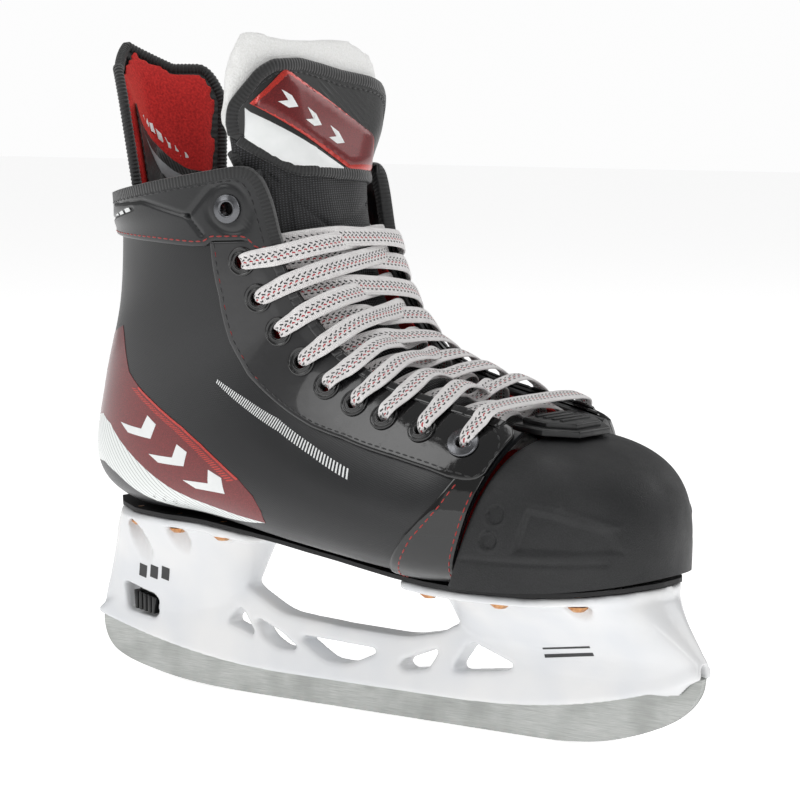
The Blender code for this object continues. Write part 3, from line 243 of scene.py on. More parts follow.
def toe(theta, phi):
    """Toe cap surface: theta round the front from the lateral seam, phi from the bottom to the top."""
    flat = np.maximum(np.cos(phi), 0) ** TOE_SQUARENESS
    high = np.maximum(np.sin(phi), 0) ** TOE_SQUARENESS
    ahead = np.maximum(np.cos(theta), 0) ** TOE_PLAN_SQUARENESS
    aside = np.sign(theta) * np.abs(np.sin(theta)) ** TOE_PLAN_SQUARENESS
    reach = ahead * flat * (1 - 0.035 * np.cos(phi) ** 6)
    bottom = TOE_BOTTOM + 4.0 * ahead ** 3
    top = TOE_TOP_REAR + (TOE_TOP_FRONT - TOE_TOP_REAR) * reach
    z = bottom + (top - bottom) * high
    seam = seam_x(z) + GAP + 0.9
    return np.stack([seam + (TOE_FRONT - seam) * reach, 1.5 + TOE_HALF_WIDTH * aside * flat, z], -1)


def guard(height, s, lift=0.0):
    """Tendon guard surface: height from its foot (0) to its top edge (1), s round the back from -1 to 1."""
    height, s, lift = np.broadcast_arrays(*(np.asarray(v, float) for v in (height, s, lift)))
    shoulder = GUARD_TOP + (GUARD_SHOULDER - GUARD_TOP) * np.minimum(np.abs(s) / 0.5, 1)
    corner = np.maximum(np.abs(s) - 0.75, 0) / 0.25
    top = shoulder + (GUARD_CORNER - shoulder) * corner ** 2
    z = GUARD_BOTTOM + (top - GUARD_BOTTOM) * height
    share = (z - GUARD_BOTTOM) / (GUARD_TOP - GUARD_BOTTOM)
    back = GUARD_BACK_BOTTOM + (GUARD_BACK_TOP - GUARD_BACK_BOTTOM) * np.maximum(share, 0) ** 1.3 + lift
    edge = GUARD_EDGE_BOTTOM + (GUARD_EDGE_TOP - GUARD_EDGE_BOTTOM) * share + lift * 0.3
    half = GUARD_HALF_BOTTOM + (GUARD_HALF_TOP - GUARD_HALF_BOTTOM) * share - lift
    return np.stack([back + (edge - back) * np.abs(s) ** 1.5, half * s, z], -1)


# ---------------------------------------------------------------- meshes

def finished(name, data, finish, body, replaces=()):
    """Puts a mesh in the scene as a piece of the object."""
    obj = bpy.data.objects.new(name, data)
    bpy.context.scene.collection.objects.link(obj)
    data.materials.clear()
    data.materials.append(MATERIALS[finish])
    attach(obj, body)
    if replaces:
        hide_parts(*replaces)
    return obj


def mesh_of(name, verts, faces, uv=None, sharp=40):
    """A closed mesh from points in millimetres, facing out, with a UV map in metres."""
    data = bpy.data.meshes.new(name)
    data.from_pydata((np.asarray(verts) * MM).tolist(), [], faces)
    bm = bmesh.new()
    bm.from_mesh(data)
    if uv is not None:
        layer = bm.loops.layers.uv.new("UVMap")
        for face in bm.faces:
            for loop in face.loops:
                loop[layer].uv = uv[loop.vert.index] * MM
    bmesh.ops.remove_doubles(bm, verts=bm.verts, dist=1e-6)
    if bm.calc_volume(signed=True) < 0:
        bmesh.ops.reverse_faces(bm, faces=bm.faces)
    bm.to_mesh(data)
    bm.free()
    data.shade_smooth()
    data.set_sharp_from_angle(angle=math.radians(sharp))
    return data


def grid_faces(n, m, closed=False):
    """Quads of a rows by columns grid of points."""
    faces = []
    for i in range(n - 1):
        for j in range(m if closed else m - 1):
            k = (j + 1) % m
            faces.append((i * m + j, i * m + k, (i + 1) * m + k, (i + 1) * m + j))
    return faces


def solid_between(name, top, low, faces, uv, sharp=40):
    """A closed body from a top layer, a lower layer with the same points, and a rim round the open edges."""
    n = len(top)
    verts = np.concatenate([top, low])
    directed = {}
    for face in faces:
        for a, b in zip(face, face[1:] + face[:1]):
            directed[(a, b)] = True
    rim = [(b, a, a + n, b + n) for a, b in directed if (b, a) not in directed]
    under = [tuple(i + n for i in reversed(face)) for face in faces]
    return mesh_of(name, verts, faces + under + rim, np.concatenate([uv, uv]), sharp)


def grid_solid(name, top, low, uv, sharp=40):
    """A closed solid between two grids of points."""
    n, m = top.shape[:2]
    return solid_between(name, top.reshape(-1, 3), low.reshape(-1, 3), grid_faces(n, m), uv.reshape(-1, 2), sharp)


def spread(count, rounding=0.0):
    """Shares from 0 to 1 with extra lines near both ends, for rounded edges of that share."""
    inner = np.linspace(rounding, 1 - rounding, count)
    if not rounding:
        return inner
    ends = rounding * np.array((0, 0.06, 0.22, 0.5))
    return np.concatenate([ends, inner, 1 - ends[::-1]])


def rounded(distance, thickness, radius):
    """Height of a rounded edge at a distance in from it."""
    d = np.minimum(distance, radius)
    return thickness - radius + np.sqrt(np.maximum(radius ** 2 - (radius - d) ** 2, 0))


def patch(name, surface, a_ends, low, high, thickness, base=GAP, radius=0.8, size=(90, 30), relief=None,
          round_ends=True, per_station=20.0):
    """A layer laid on a surface between two girths, low(a) and high(a), with rounded edges."""
    a0, a1 = a_ends
    length = abs(a1 - a0) * per_station
    a = a0 + (a1 - a0) * spread(size[0], min(radius / length, 0.2))
    lows, highs = np.array([low(v) for v in a]), np.array([high(v) for v in a])
    t = spread(size[1], 0.06)
    b = lows[:, None] + (highs - lows)[:, None] * t[None, :]
    a_grid = np.repeat(a[:, None], b.shape[1], 1)
    edge = np.minimum(b - lows[:, None], highs[:, None] - b)
    if round_ends:
        edge = np.minimum(edge, (np.minimum(np.abs(a - a0), np.abs(a1 - a)) * per_station)[:, None])
    lift = base + rounded(edge, thickness, radius)
    if relief is not None:
        lift = lift + relief(a_grid, b)
    top, under = surface(a_grid, b, lift), surface(a_grid, b, base)
    along = np.concatenate([[0], np.cumsum(np.linalg.norm(np.diff(top[:, top.shape[1] // 2], axis=0), axis=1))])
    uv = np.stack([np.repeat(along[:, None], b.shape[1], 1), b], -1)
    return grid_solid(name, top, under, uv)


def curve_through(points, step):
    """Points about every step along a smooth curve through the given ones (any number of columns)."""
    points = np.asarray(points, float)
    fine = np.array([between(points, t) for t in np.linspace(0, len(points) - 1, (len(points) - 1) * 24 + 1)])
    along = np.concatenate([[0], np.cumsum(np.linalg.norm(np.diff(fine[:, :3], axis=0), axis=1))])
    count = max(int(along[-1] / step), 2)
    places = np.linspace(0, along[-1], count + 1)
    return np.stack([np.interp(places, along, fine[:, k]) for k in range(points.shape[1])], 1), places


def sweep(name, path, across, profile, uv_scale=1.0, closed=False, sharp=60):
    """A body swept along a path. across gives each section's first axis; profile is (n, k, 2) or (k, 2)."""
    tangent = np.gradient(path, axis=0)
    if closed:
        tangent = np.roll(path, -1, 0) - np.roll(path, 1, 0)
    tangent /= np.linalg.norm(tangent, axis=1, keepdims=True)
    up = np.cross(across, tangent)
    up /= np.maximum(np.linalg.norm(up, axis=1, keepdims=True), 1e-9)
    side = np.cross(tangent, up)
    profile = np.broadcast_to(np.asarray(profile, float), (len(path),) + np.asarray(profile).shape[-2:])
    verts = path[:, None] + side[:, None] * profile[..., :1] + up[:, None] * profile[..., 1:]
    n, k = verts.shape[:2]
    faces = grid_faces(n, k, closed=True)
    if closed:
        faces += [((n - 1) * k + j, (n - 1) * k + (j + 1) % k, (j + 1) % k, j) for j in range(k)]
    else:
        faces += [tuple(range(k)), tuple(range((n - 1) * k, n * k))[::-1]]
    along = np.concatenate([[0], np.cumsum(np.linalg.norm(np.diff(path, axis=0), axis=1))])
    uv = np.stack([np.repeat(along[:, None], k, 1), profile[..., 0] * uv_scale], -1)
    return mesh_of(name, verts.reshape(-1, 3), faces, uv.reshape(-1, 2), sharp)


def circle(radius, count=10):
    angles = np.linspace(0, math.tau, count, endpoint=False)
    return np.stack([radius * np.cos(angles), radius * np.sin(angles)], 1)


def decal(name, outline, surface, base, thickness, scale=(1.0, 1.0), cell=2.0, bevel=0.25):
    """A flat shape with an outline in surface coordinates, laid on that surface."""
    bm = bmesh.new()
    scale = np.array(scale)
    bm.faces.new([bm.verts.new((*(np.array(p) * scale), 0)) for p in outline])
    lows = (np.array(outline) * scale).min(0)
    highs = (np.array(outline) * scale).max(0)
    for axis in (0, 1):
        for place in np.arange(math.ceil(lows[axis] / cell) * cell, highs[axis], cell):
            at, normal = [0, 0, 0], [0, 0, 0]
            at[axis], normal[axis] = place + 1e-4, 1
            geom = bm.verts[:] + bm.edges[:] + bm.faces[:]
            bmesh.ops.bisect_plane(bm, geom=geom, plane_co=at, plane_no=normal)
    if bevel:
        bmesh.ops.inset_region(bm, faces=bm.faces[:], thickness=bevel)
    bm.verts.index_update()
    rim = {v.index for v in bm.verts if v.is_boundary} if bevel else set()
    flat = np.array([v.co[:2] for v in bm.verts])
    faces = [tuple(v.index for v in f.verts) for f in bm.faces]
    bm.free()
    lift = np.array([base + thickness * (0.45 if i in rim else 1.0) for i in range(len(flat))])
    a, b = flat[:, 0] / scale[0], flat[:, 1] / scale[1]
    return solid_between(name, surface(a, b, lift), surface(a, b, base), faces, flat)


def joined(name, parts):
    """Several meshes as one."""
    bm = bmesh.new()
    for part in parts:
        bm.from_mesh(part)
        bpy.data.meshes.remove(part)
    data = bpy.data.meshes.new(name)
    bm.to_mesh(data)
    bm.free()
    return data


def shaped(data, modifiers):
    """The mesh after modifiers: (kind, settings) pairs, run on a scratch object."""
    obj = bpy.data.objects.new("scratch", data)
    bpy.context.scene.collection.objects.link(obj)
    for kind, settings in modifiers:
        modifier = obj.modifiers.new(kind.lower(), kind)
        for key, value in settings.items():
            setattr(modifier, key, value)
    bpy.context.view_layer.update()
    made = bpy.data.meshes.new_from_object(obj.evaluated_get(bpy.context.evaluated_depsgraph_get()))
    bpy.data.objects.remove(obj)
    made.name = data.name
    return made


def smoothed(data, sharp=40):
    """The mesh shaded smooth, with edges past the angle kept sharp."""
    data.shade_smooth()
    data.set_sharp_from_angle(angle=math.radians(sharp))
    return data


def turned(name, profile, place, axis, segments=40):
    """A ring or stud turned about an axis: profile is a closed loop of (radius, height)."""
    angles = np.linspace(0, math.tau, segments, endpoint=False)
    verts = [(r * math.cos(t), r * math.sin(t), h) for t in angles for r, h in profile]
    k = len(profile)
    faces = []
    for i in range(segments):
        for j in range(k):
            n, m = (i + 1) % segments, (j + 1) % k
            faces.append((i * k + j, n * k + j, n * k + m, i * k + m))
    turn = np.array(Vector((0, 0, 1)).rotation_difference(Vector(axis)).to_matrix())
    return mesh_of(name, np.array(verts) @ turn.T + np.asarray(place), faces, sharp=50)

# ---------------------------------------------------------------- materials

def colour(code):
    """Linear colour from an sRGB hex code."""
    parts = [int(code[i:i + 2], 16) / 255 for i in (1, 3, 5)]
    return (*(c / 12.92 if c <= 0.04045 else ((c + 0.055) / 1.055) ** 2.4 for c in parts), 1.0)


def add(tree, kind, inputs=(), **settings):
    """Adds a node with its settings, and links or values for its inputs."""
    node = tree.nodes.new(kind)
    for key, value in settings.items():
        setattr(node, key, value)
    for key, value in dict(inputs).items():
        if isinstance(value, bpy.types.NodeSocket):
            tree.links.new(value, node.inputs[key])
        else:
            node.inputs[key].default_value = value
    return node


def maths(tree, operation, *values):
    """One arithmetic node."""
    return add(tree, "ShaderNodeMath", dict(enumerate(values)), operation=operation).outputs[0]


def mixed(tree, share, a, b):
    """Colour between a and b by share."""
    return add(tree, "ShaderNodeMix", {0: share, 6: a, 7: b}, data_type="RGBA").outputs[2]


def ramp(tree, value, low, high, out_low=0.0, out_high=1.0):
    """Maps a value from one range to another, clamped."""
    return add(tree, "ShaderNodeMapRange", {0: value, 1: low, 2: high, 3: out_low, 4: out_high}).outputs[0]


def noise(tree, vector, size_mm, detail=2.0, stretch=(1, 1, 1)):
    """Noise with features about size_mm across."""
    scaled = add(tree, "ShaderNodeVectorMath", {0: vector, 1: stretch}, operation="MULTIPLY").outputs[0]
    return add(tree, "ShaderNodeTexNoise", {"Vector": scaled, "Scale": 1 / (size_mm * MM), "Detail": detail}).outputs[0]


def stripes(tree, vector, direction, pitch_mm):
    """A sine from -1 to 1 along a direction, one wave to a pitch."""
    way = np.array(direction, float)
    way = way / np.linalg.norm(way) * math.tau / (pitch_mm * MM)
    place = add(tree, "ShaderNodeVectorMath", {0: vector, 1: tuple(way)}, operation="DOT_PRODUCT").outputs["Value"]
    return maths(tree, "SINE", place)


def material(name, base, roughness, metallic=0.0, **sockets):
    """A Principled material. Extra sockets are given by name with underscores for spaces."""
    made = bpy.data.materials.new(name)
    made.use_nodes = True
    tree = made.node_tree
    shader = tree.nodes["Principled BSDF"]
    shader.inputs["Base Color"].default_value = colour(base)
    shader.inputs["Roughness"].default_value = roughness
    shader.inputs["Metallic"].default_value = metallic
    for key, value in sockets.items():
        shader.inputs[key.replace("_", " ")].default_value = value
    coords = add(tree, "ShaderNodeTexCoord")
    MATERIALS[name] = made
    return tree, shader, coords.outputs["Object"], coords.outputs["UV"]


def bump(tree, shader, height, depth_mm, strength=1.0):
    """Bump from a height of 0 to 1, depth_mm deep. Bumps added later lie on those before."""
    inputs = {"Height": height, "Distance": depth_mm * MM, "Strength": strength}
    if shader.inputs["Normal"].links:
        inputs["Normal"] = shader.inputs["Normal"].links[0].from_socket
    made = add(tree, "ShaderNodeBump", inputs)
    tree.links.new(made.outputs[0], shader.inputs["Normal"])


def paint(tree, shader, value, socket="Base Color"):
    tree.links.new(value, shader.inputs[socket])


MATERIALS = {}


def composite_materials():
    # Moulded composite quarter: satin film over a fine twill, so the light breaks into faint diagonals.
    tree, shader, place, uv = material("satin_composite", "#141516", 0.36, Coat_Weight=0.15, Coat_Roughness=0.3)
    twill = maths(tree, "MULTIPLY", stripes(tree, uv, (1, 0.55, 0), 1.9), stripes(tree, uv, (0.4, -1, 0), 0.9))
    bump(tree, shader, ramp(tree, twill, -1, 1), 0.035)
    x = add(tree, "ShaderNodeSeparateXYZ", {0: place}).outputs[0]
    heel = ramp(tree, x, -0.098, -0.122)
    dots = maths(tree, "MULTIPLY", stripes(tree, uv, (1, 0, 0), 2.2), stripes(tree, uv, (0, 1, 0), 2.2))
    bump(tree, shader, maths(tree, "MULTIPLY", heel, ramp(tree, dots, 0.2, 0.8)), 0.09)
    cloud = noise(tree, place, 38, 3)
    paint(tree, shader, mixed(tree, ramp(tree, cloud, 0.3, 0.7), colour("#121315"), colour("#191a1c")))
    paint(tree, shader, ramp(tree, cloud, 0.3, 0.7, 0.33, 0.42), "Roughness")
    # Embossed coated synthetic of the collar: a little glossier, with a leather grain.
    tree, shader, place, uv = material("coated_collar", "#18181a", 0.34, Coat_Weight=0.25, Coat_Roughness=0.25)
    grain = noise(tree, place, 0.8, 3)
    bump(tree, shader, grain, 0.05)
    patches = ramp(tree, noise(tree, place, 20), 0.35, 0.65)
    paint(tree, shader, mixed(tree, patches, colour("#141516"), colour("#1c1d1f")))
    # Facing: coated leather that turns to mirror-bright patent towards the toe, creased where it flexes.
    tree, shader, place, uv = material("patent_facing", "#0a0b0c", 0.3, Coat_Weight=0.6, Coat_Roughness=0.06)
    x = add(tree, "ShaderNodeSeparateXYZ", {0: place}).outputs[0]
    shine = ramp(tree, x, -0.012, 0.04)
    paint(tree, shader, maths(tree, "ADD", ramp(tree, shine, 0, 1, 0.42, 0.06),
                              ramp(tree, noise(tree, place, 6), 0.3, 0.7, -0.02, 0.04)), "Roughness")
    paint(tree, shader, mixed(tree, shine, colour("#151517"), colour("#040405")))
    bump(tree, shader, noise(tree, place, 7, 2), 0.5, 0.6)
    bump(tree, shader, noise(tree, place, 0.7, 3), 0.025)
    # Patent strip round the forefoot, bright above and matt below its crease.
    tree, shader, place, uv = material("patent_band", "#070708", 0.1, Coat_Weight=0.5, Coat_Roughness=0.05)
    z = add(tree, "ShaderNodeSeparateXYZ", {0: place}).outputs[2]
    lower = ramp(tree, z, 0.0795, 0.0785)
    paint(tree, shader, ramp(tree, lower, 0, 1, 0.07, 0.4), "Roughness")
    paint(tree, shader, mixed(tree, lower, colour("#040404"), colour("#111213")))
    bump(tree, shader, noise(tree, place, 9, 2), 0.5, 0.5)
    # Injection-moulded toe cap with a sandy grain and scuffed highlights.
    tree, shader, place, uv = material("grained_cap", "#151618", 0.52)
    grain = noise(tree, place, 0.55, 4)
    bump(tree, shader, grain, 0.16)
    paint(tree, shader, mixed(tree, ramp(tree, grain, 0.35, 0.7), colour("#101112"), colour("#1c1d1f")))
    paint(tree, shader, ramp(tree, noise(tree, place, 12, 3), 0.3, 0.7, 0.45, 0.6), "Roughness")
    # Smooth moulded black of the bridge, guard and trigger.
    tree, shader, place, uv = material("moulded_black", "#0e0f10", 0.3)
    bump(tree, shader, noise(tree, place, 0.5, 3), 0.03)
    paint(tree, shader, ramp(tree, noise(tree, place, 8, 3), 0.3, 0.7, 0.25, 0.4), "Roughness")
    # Flexible guard moulding: duller, with a faint horizontal flow from the mould.
    tree, shader, place, uv = material("guard_shell", "#111213", 0.42)
    bump(tree, shader, stripes(tree, place, (0, 0, 1), 2.6), 0.05)
    bump(tree, shader, noise(tree, place, 0.6, 3), 0.04)
    # Pressed sole board: black fibre with a dull face.
    tree, shader, place, uv = material("sole_board", "#131314", 0.6)
    bump(tree, shader, noise(tree, place, 0.9, 4), 0.08)
    paint(tree, shader, mixed(tree, noise(tree, place, 3), colour("#0f0f10"), colour("#19191b")))


def fabric_materials():
    # Ballistic weave of the tongue: open mesh that shows as fine grey dots on black.
    tree, shader, place, uv = material("tongue_mesh", "#101011", 0.62, Sheen_Weight=0.2, Sheen_Roughness=0.4)
    net = maths(tree, "MULTIPLY", stripes(tree, uv, (1, 0.6, 0), 1.3), stripes(tree, uv, (1, -0.6, 0), 1.3))
    paint(tree, shader, mixed(tree, ramp(tree, net, 0.05, 0.6), colour("#080809"), colour("#3a3b3e")))
    bump(tree, shader, ramp(tree, net, -0.3, 0.8), 0.18)
    # Coated face of the tongue's head: fine diagonal ribs pressed into it.
    tree, shader, place, uv = material("tongue_coated", "#0f1010", 0.38, Coat_Weight=0.15, Coat_Roughness=0.3)
    ribs = stripes(tree, uv, (1, 0.75, 0), 2.3)
    side = ramp(tree, add(tree, "ShaderNodeSeparateXYZ", {0: uv}).outputs[1], -0.008, 0.012)
    bump(tree, shader, maths(tree, "MULTIPLY", ramp(tree, ribs, -0.2, 0.6), side), 0.3)
    bump(tree, shader, noise(tree, place, 0.7, 3), 0.04)
    # Binding tape: tight crosswise ribs of folded webbing, painted lighter on the rib crests and darker in the troughs
    # as painted highlight and shade.
    tree, shader, place, uv = material("binding_tape", "#0f0f10", 0.58, Sheen_Weight=0.3, Sheen_Roughness=0.5)
    rib = stripes(tree, uv, (1, 0, 0), 1.5)
    bump(tree, shader, ramp(tree, rib, -1, 1), 0.16)
    bump(tree, shader, noise(tree, place, 0.4, 3), 0.05)
    # Painted highlight on the rib crests and painted shade in the troughs.
    paint(tree, shader, mixed(tree, ramp(tree, rib, -1, 1), colour("#09090a"), colour("#1a1b1c")))
    # Needled wool-blend felt: fuzzy, matt, with soft lumps.
    tree, shader, place, uv = material("white_felt", "#f3f3f1", 0.95, Sheen_Weight=0.5, Sheen_Roughness=0.6)
    fuzz = noise(tree, place, 0.7, 5)
    bump(tree, shader, fuzz, 0.5, 0.8)
    bump(tree, shader, noise(tree, place, 5, 3), 0.9, 0.5)
    paint(tree, shader, mixed(tree, ramp(tree, fuzz, 0.3, 0.7), colour("#e9e9e6"), colour("#f8f8f7")))
    # Red brushed lining: short nap over a knit, with lighter patches painted into its colour by the nap as painted
    # sheen.
    tree, shader, place, uv = material("red_lining", "#c3191a", 0.85, Sheen_Weight=0.6, Sheen_Roughness=0.45,
                                       Sheen_Tint=colour("#ff6a5a"))
    knit = maths(tree, "MULTIPLY", stripes(tree, uv, (1, 0, 0), 1.1), stripes(tree, uv, (0, 1, 0), 0.8))
    nap = noise(tree, place, 0.9, 4)
    bump(tree, shader, ramp(tree, knit, -1, 1), 0.1)
    bump(tree, shader, nap, 0.22)
    # Lighter patches of the nap are painted sheen.
    paint(tree, shader, mixed(tree, ramp(tree, nap, 0.3, 0.7), colour("#a81214"), colour("#d92a26")))
    # Black brushed lining inside the boot.
    tree, shader, place, uv = material("black_lining", "#101011", 0.8, Sheen_Weight=0.5, Sheen_Roughness=0.5)
    nap = noise(tree, place, 0.8, 4)
    bump(tree, shader, nap, 0.2)
    paint(tree, shader, mixed(tree, ramp(tree, nap, 0.3, 0.7), colour("#0b0b0c"), colour("#19191b")))
    # Waxed polyester sewing thread, black and red: twisted, with a lighter colour painted along the twist as painted
    # glint.
    for name, dark, light in (("thread_black", "#080809", "#1f1f21"), ("thread_red", "#7d1512", "#b5221c")):
        tree, shader, place, uv = material(name, dark, 0.42, Sheen_Weight=0.2)
        twist_and_glint = noise(tree, place, 0.35, 2)
        # The lighter colour along the twist is a painted glint.
        paint(tree, shader, mixed(tree, ramp(tree, twist_and_glint, 0.3, 0.7), colour(dark), colour(light)))
        bump(tree, shader, twist_and_glint, 0.05)
    # Flat woven lace: herringbone of white yarn with rows of black and red flecks down the middle.
    tree, shader, place, uv = material("woven_lace", "#efedec", 0.88, Sheen_Weight=0.45, Sheen_Roughness=0.5)
    parts = add(tree, "ShaderNodeSeparateXYZ", {0: uv})
    along, across = parts.outputs[0], parts.outputs[1]
    ruffle = maths(tree, "MULTIPLY", stripes(tree, uv, (1, 0, 0), 2.3), 0.00022)
    wavy = maths(tree, "ADD", across, ruffle)
    shade = mixed(tree, noise(tree, place, 4, 3), colour("#dcd8d8"), colour("#f6f4f3"))
    rows = ((-0.0016, "#121214", 0.0), (-0.0007, "#b3202a", 0.6), (0.0002, "#121214", 0.3), (0.0013, "#19191b", 0.8))
    for middle, code, phase in rows:
        off = maths(tree, "ABSOLUTE", maths(tree, "SUBTRACT", wavy, middle))
        line = ramp(tree, off, 0.0004, 0.0002)
        shifted = add(tree, "ShaderNodeVectorMath", {0: uv, 1: (phase * 0.0023, 0, 0)}, operation="ADD").outputs[0]
        dash = ramp(tree, stripes(tree, shifted, (1, 0, 0), 2.3), -0.25, 0.1)
        shade = mixed(tree, maths(tree, "MULTIPLY", line, dash), shade, colour(code))
    paint(tree, shader, shade)
    weave = maths(tree, "MULTIPLY", stripes(tree, uv, (1, 1, 0), 1.0), stripes(tree, uv, (1, -1, 0), 1.0))
    bump(tree, shader, ramp(tree, weave, -1, 1), 0.22)
    bump(tree, shader, noise(tree, place, 0.35, 3), 0.12)


def hard_materials():
    # Injection-moulded white nylon: satin gloss, hardly any texture, a breath of warm and cool.
    tree, shader, place, uv = material("white_nylon", "#e3e4e6", 0.27, Coat_Weight=0.2, Coat_Roughness=0.12)
    patches = ramp(tree, noise(tree, place, 30, 2), 0.35, 0.65)
    paint(tree, shader, mixed(tree, patches, colour("#dddfe2"), colour("#e8e8e8")))
    bump(tree, shader, noise(tree, place, 1.6, 2), 0.03)
    # Ground stainless steel: long grinding lines along the blade with fainter cross marks and stains.
    tree, shader, place, uv = material("ground_steel", "#b9bbb8", 0.36, 1.0, Anisotropic=0.4)
    lines = noise(tree, place, 9, 4, (1, 1, 60))
    cross = noise(tree, place, 0.9, 3, (1.6, 1, 0.2))
    cloud = noise(tree, place, 14, 4)
    tone = mixed(tree, ramp(tree, lines, 0.3, 0.7), colour("#9a9c9a"), colour("#c6c8c5"))
    paint(tree, shader, mixed(tree, ramp(tree, cloud, 0.42, 0.68, 0, 0.5), tone, colour("#8d8f8c")))
    paint(tree, shader, ramp(tree, lines, 0.3, 0.7, 0.3, 0.46), "Roughness")
    bump(tree, shader, lines, 0.02)
    bump(tree, shader, cross, 0.012)
    # Gunmetal plating on turned brass: dark, bright on its worn rim.
    tree, shader, place, uv = material("gunmetal", "#6c6d70", 0.24, 1.0)
    paint(tree, shader, ramp(tree, noise(tree, place, 2, 3), 0.3, 0.7, 0.18, 0.36), "Roughness")
    # Black enamel over brass eyelets, with a thick wet edge.
    tree, shader, place, uv = material("black_enamel", "#070708", 0.12, Coat_Weight=0.6, Coat_Roughness=0.05)
    bump(tree, shader, noise(tree, place, 0.8, 3), 0.05)
    paint(tree, shader, ramp(tree, noise(tree, place, 3, 2), 0.3, 0.7, 0.08, 0.2), "Roughness")
    # Copper-plated rivets, cold headed, slightly tarnished.
    tree, shader, place, uv = material("copper", "#c48a5a", 0.3, 1.0)
    patches = ramp(tree, noise(tree, place, 1.5, 3), 0.35, 0.7)
    paint(tree, shader, mixed(tree, patches, colour("#b87a4c"), colour("#d9a878")))
    # Bright wire and pins, drawn and cut.
    tree, shader, place, uv = material("drawn_steel", "#a9abac", 0.3, 1.0)
    paint(tree, shader, ramp(tree, noise(tree, place, 0.8, 2), 0.3, 0.7, 0.22, 0.4), "Roughness")
    # Screen-printed and foil graphics: metallic dark red with a bright edge, white, grey.
    tree, shader, place, uv = material("foil_red", "#6e1618", 0.3, 0.35, Coat_Weight=0.5, Coat_Roughness=0.1)
    flake = noise(tree, place, 0.3, 1)
    paint(tree, shader, mixed(tree, ramp(tree, flake, 0.4, 0.65), colour("#5c1214"), colour("#842022")))
    tree, shader, place, uv = material("foil_bright_red", "#c02a20", 0.28, 0.3, Coat_Weight=0.5, Coat_Roughness=0.1)
    flakes = ramp(tree, noise(tree, place, 0.3, 1), 0.4, 0.65)
    paint(tree, shader, mixed(tree, flakes, colour("#a8221b"), colour("#d63a2a")))
    tree, shader, place, uv = material("print_white", "#eceeed", 0.35, Coat_Weight=0.3, Coat_Roughness=0.15)
    paint(tree, shader, mixed(tree, noise(tree, place, 5, 2), colour("#e3e6e5"), colour("#f2f3f3")))
    tree, shader, place, uv = material("print_grey", "#85888b", 0.4)
    paint(tree, shader, mixed(tree, noise(tree, place, 3, 2), colour("#777a7d"), colour("#95989b")))
    # Screen-printed black on white nylon.
    tree, shader, place, uv = material("print_dark", "#1c1e20", 0.4)
    paint(tree, shader, mixed(tree, noise(tree, place, 3, 2), colour("#18191b"), colour("#222426")))
    # White heel panel with thin pinstripes running along it.
    tree, shader, place, uv = material("pinstriped_white", "#e7ebe9", 0.3, Coat_Weight=0.4, Coat_Roughness=0.12)
    line = ramp(tree, stripes(tree, uv, (0, 1, 0), 2.1), 0.72, 0.9)
    paint(tree, shader, mixed(tree, maths(tree, "MULTIPLY", line, 0.75), colour("#e9edeb"), colour("#858b88")))


composite_materials()
fabric_materials()
hard_materials()

# ---------------------------------------------------------------- camera, light and floor

CAMERA_TARGET = (0.0078, 0, 0.1198)
CAMERA_AZIMUTH, CAMERA_ELEVATION, CAMERA_DISTANCE = 36.73, 6.09, 1.1245  # degrees, degrees, metres
CAMERA_LENS = 135
WORLD_LIGHT, WORLD_SEEN = 0.33, 0.98
FLOOR_HALF, FLOOR_TOP, FLOOR_GLOW = 6, -0.0005, 0.62
# Softboxes: name, place, aim, size in metres and power in watts. The key is high on the left, the strip rakes
# the glossy facing.
SOFTBOXES = (
    ("key", (-0.9, -1.3, 1.4), (0, 0, 0.1), (1.1, 1.1), 8),
    ("strip", (1.3, -0.9, 0.75), (0.03, 0, 0.1), (0.25, 1.3), 4.5),
    ("fill", (0.4, -1.7, 0.35), (0, 0, 0.1), (1.2, 0.7), 1.2),
    ("top", (0.15, 0.1, 1.6), (0, 0, 0.1), (1.4, 0.6), 5),
    ("rim", (0.7, 1.5, 0.9), (0, 0, 0.12), (1.0, 0.8), 4),
)


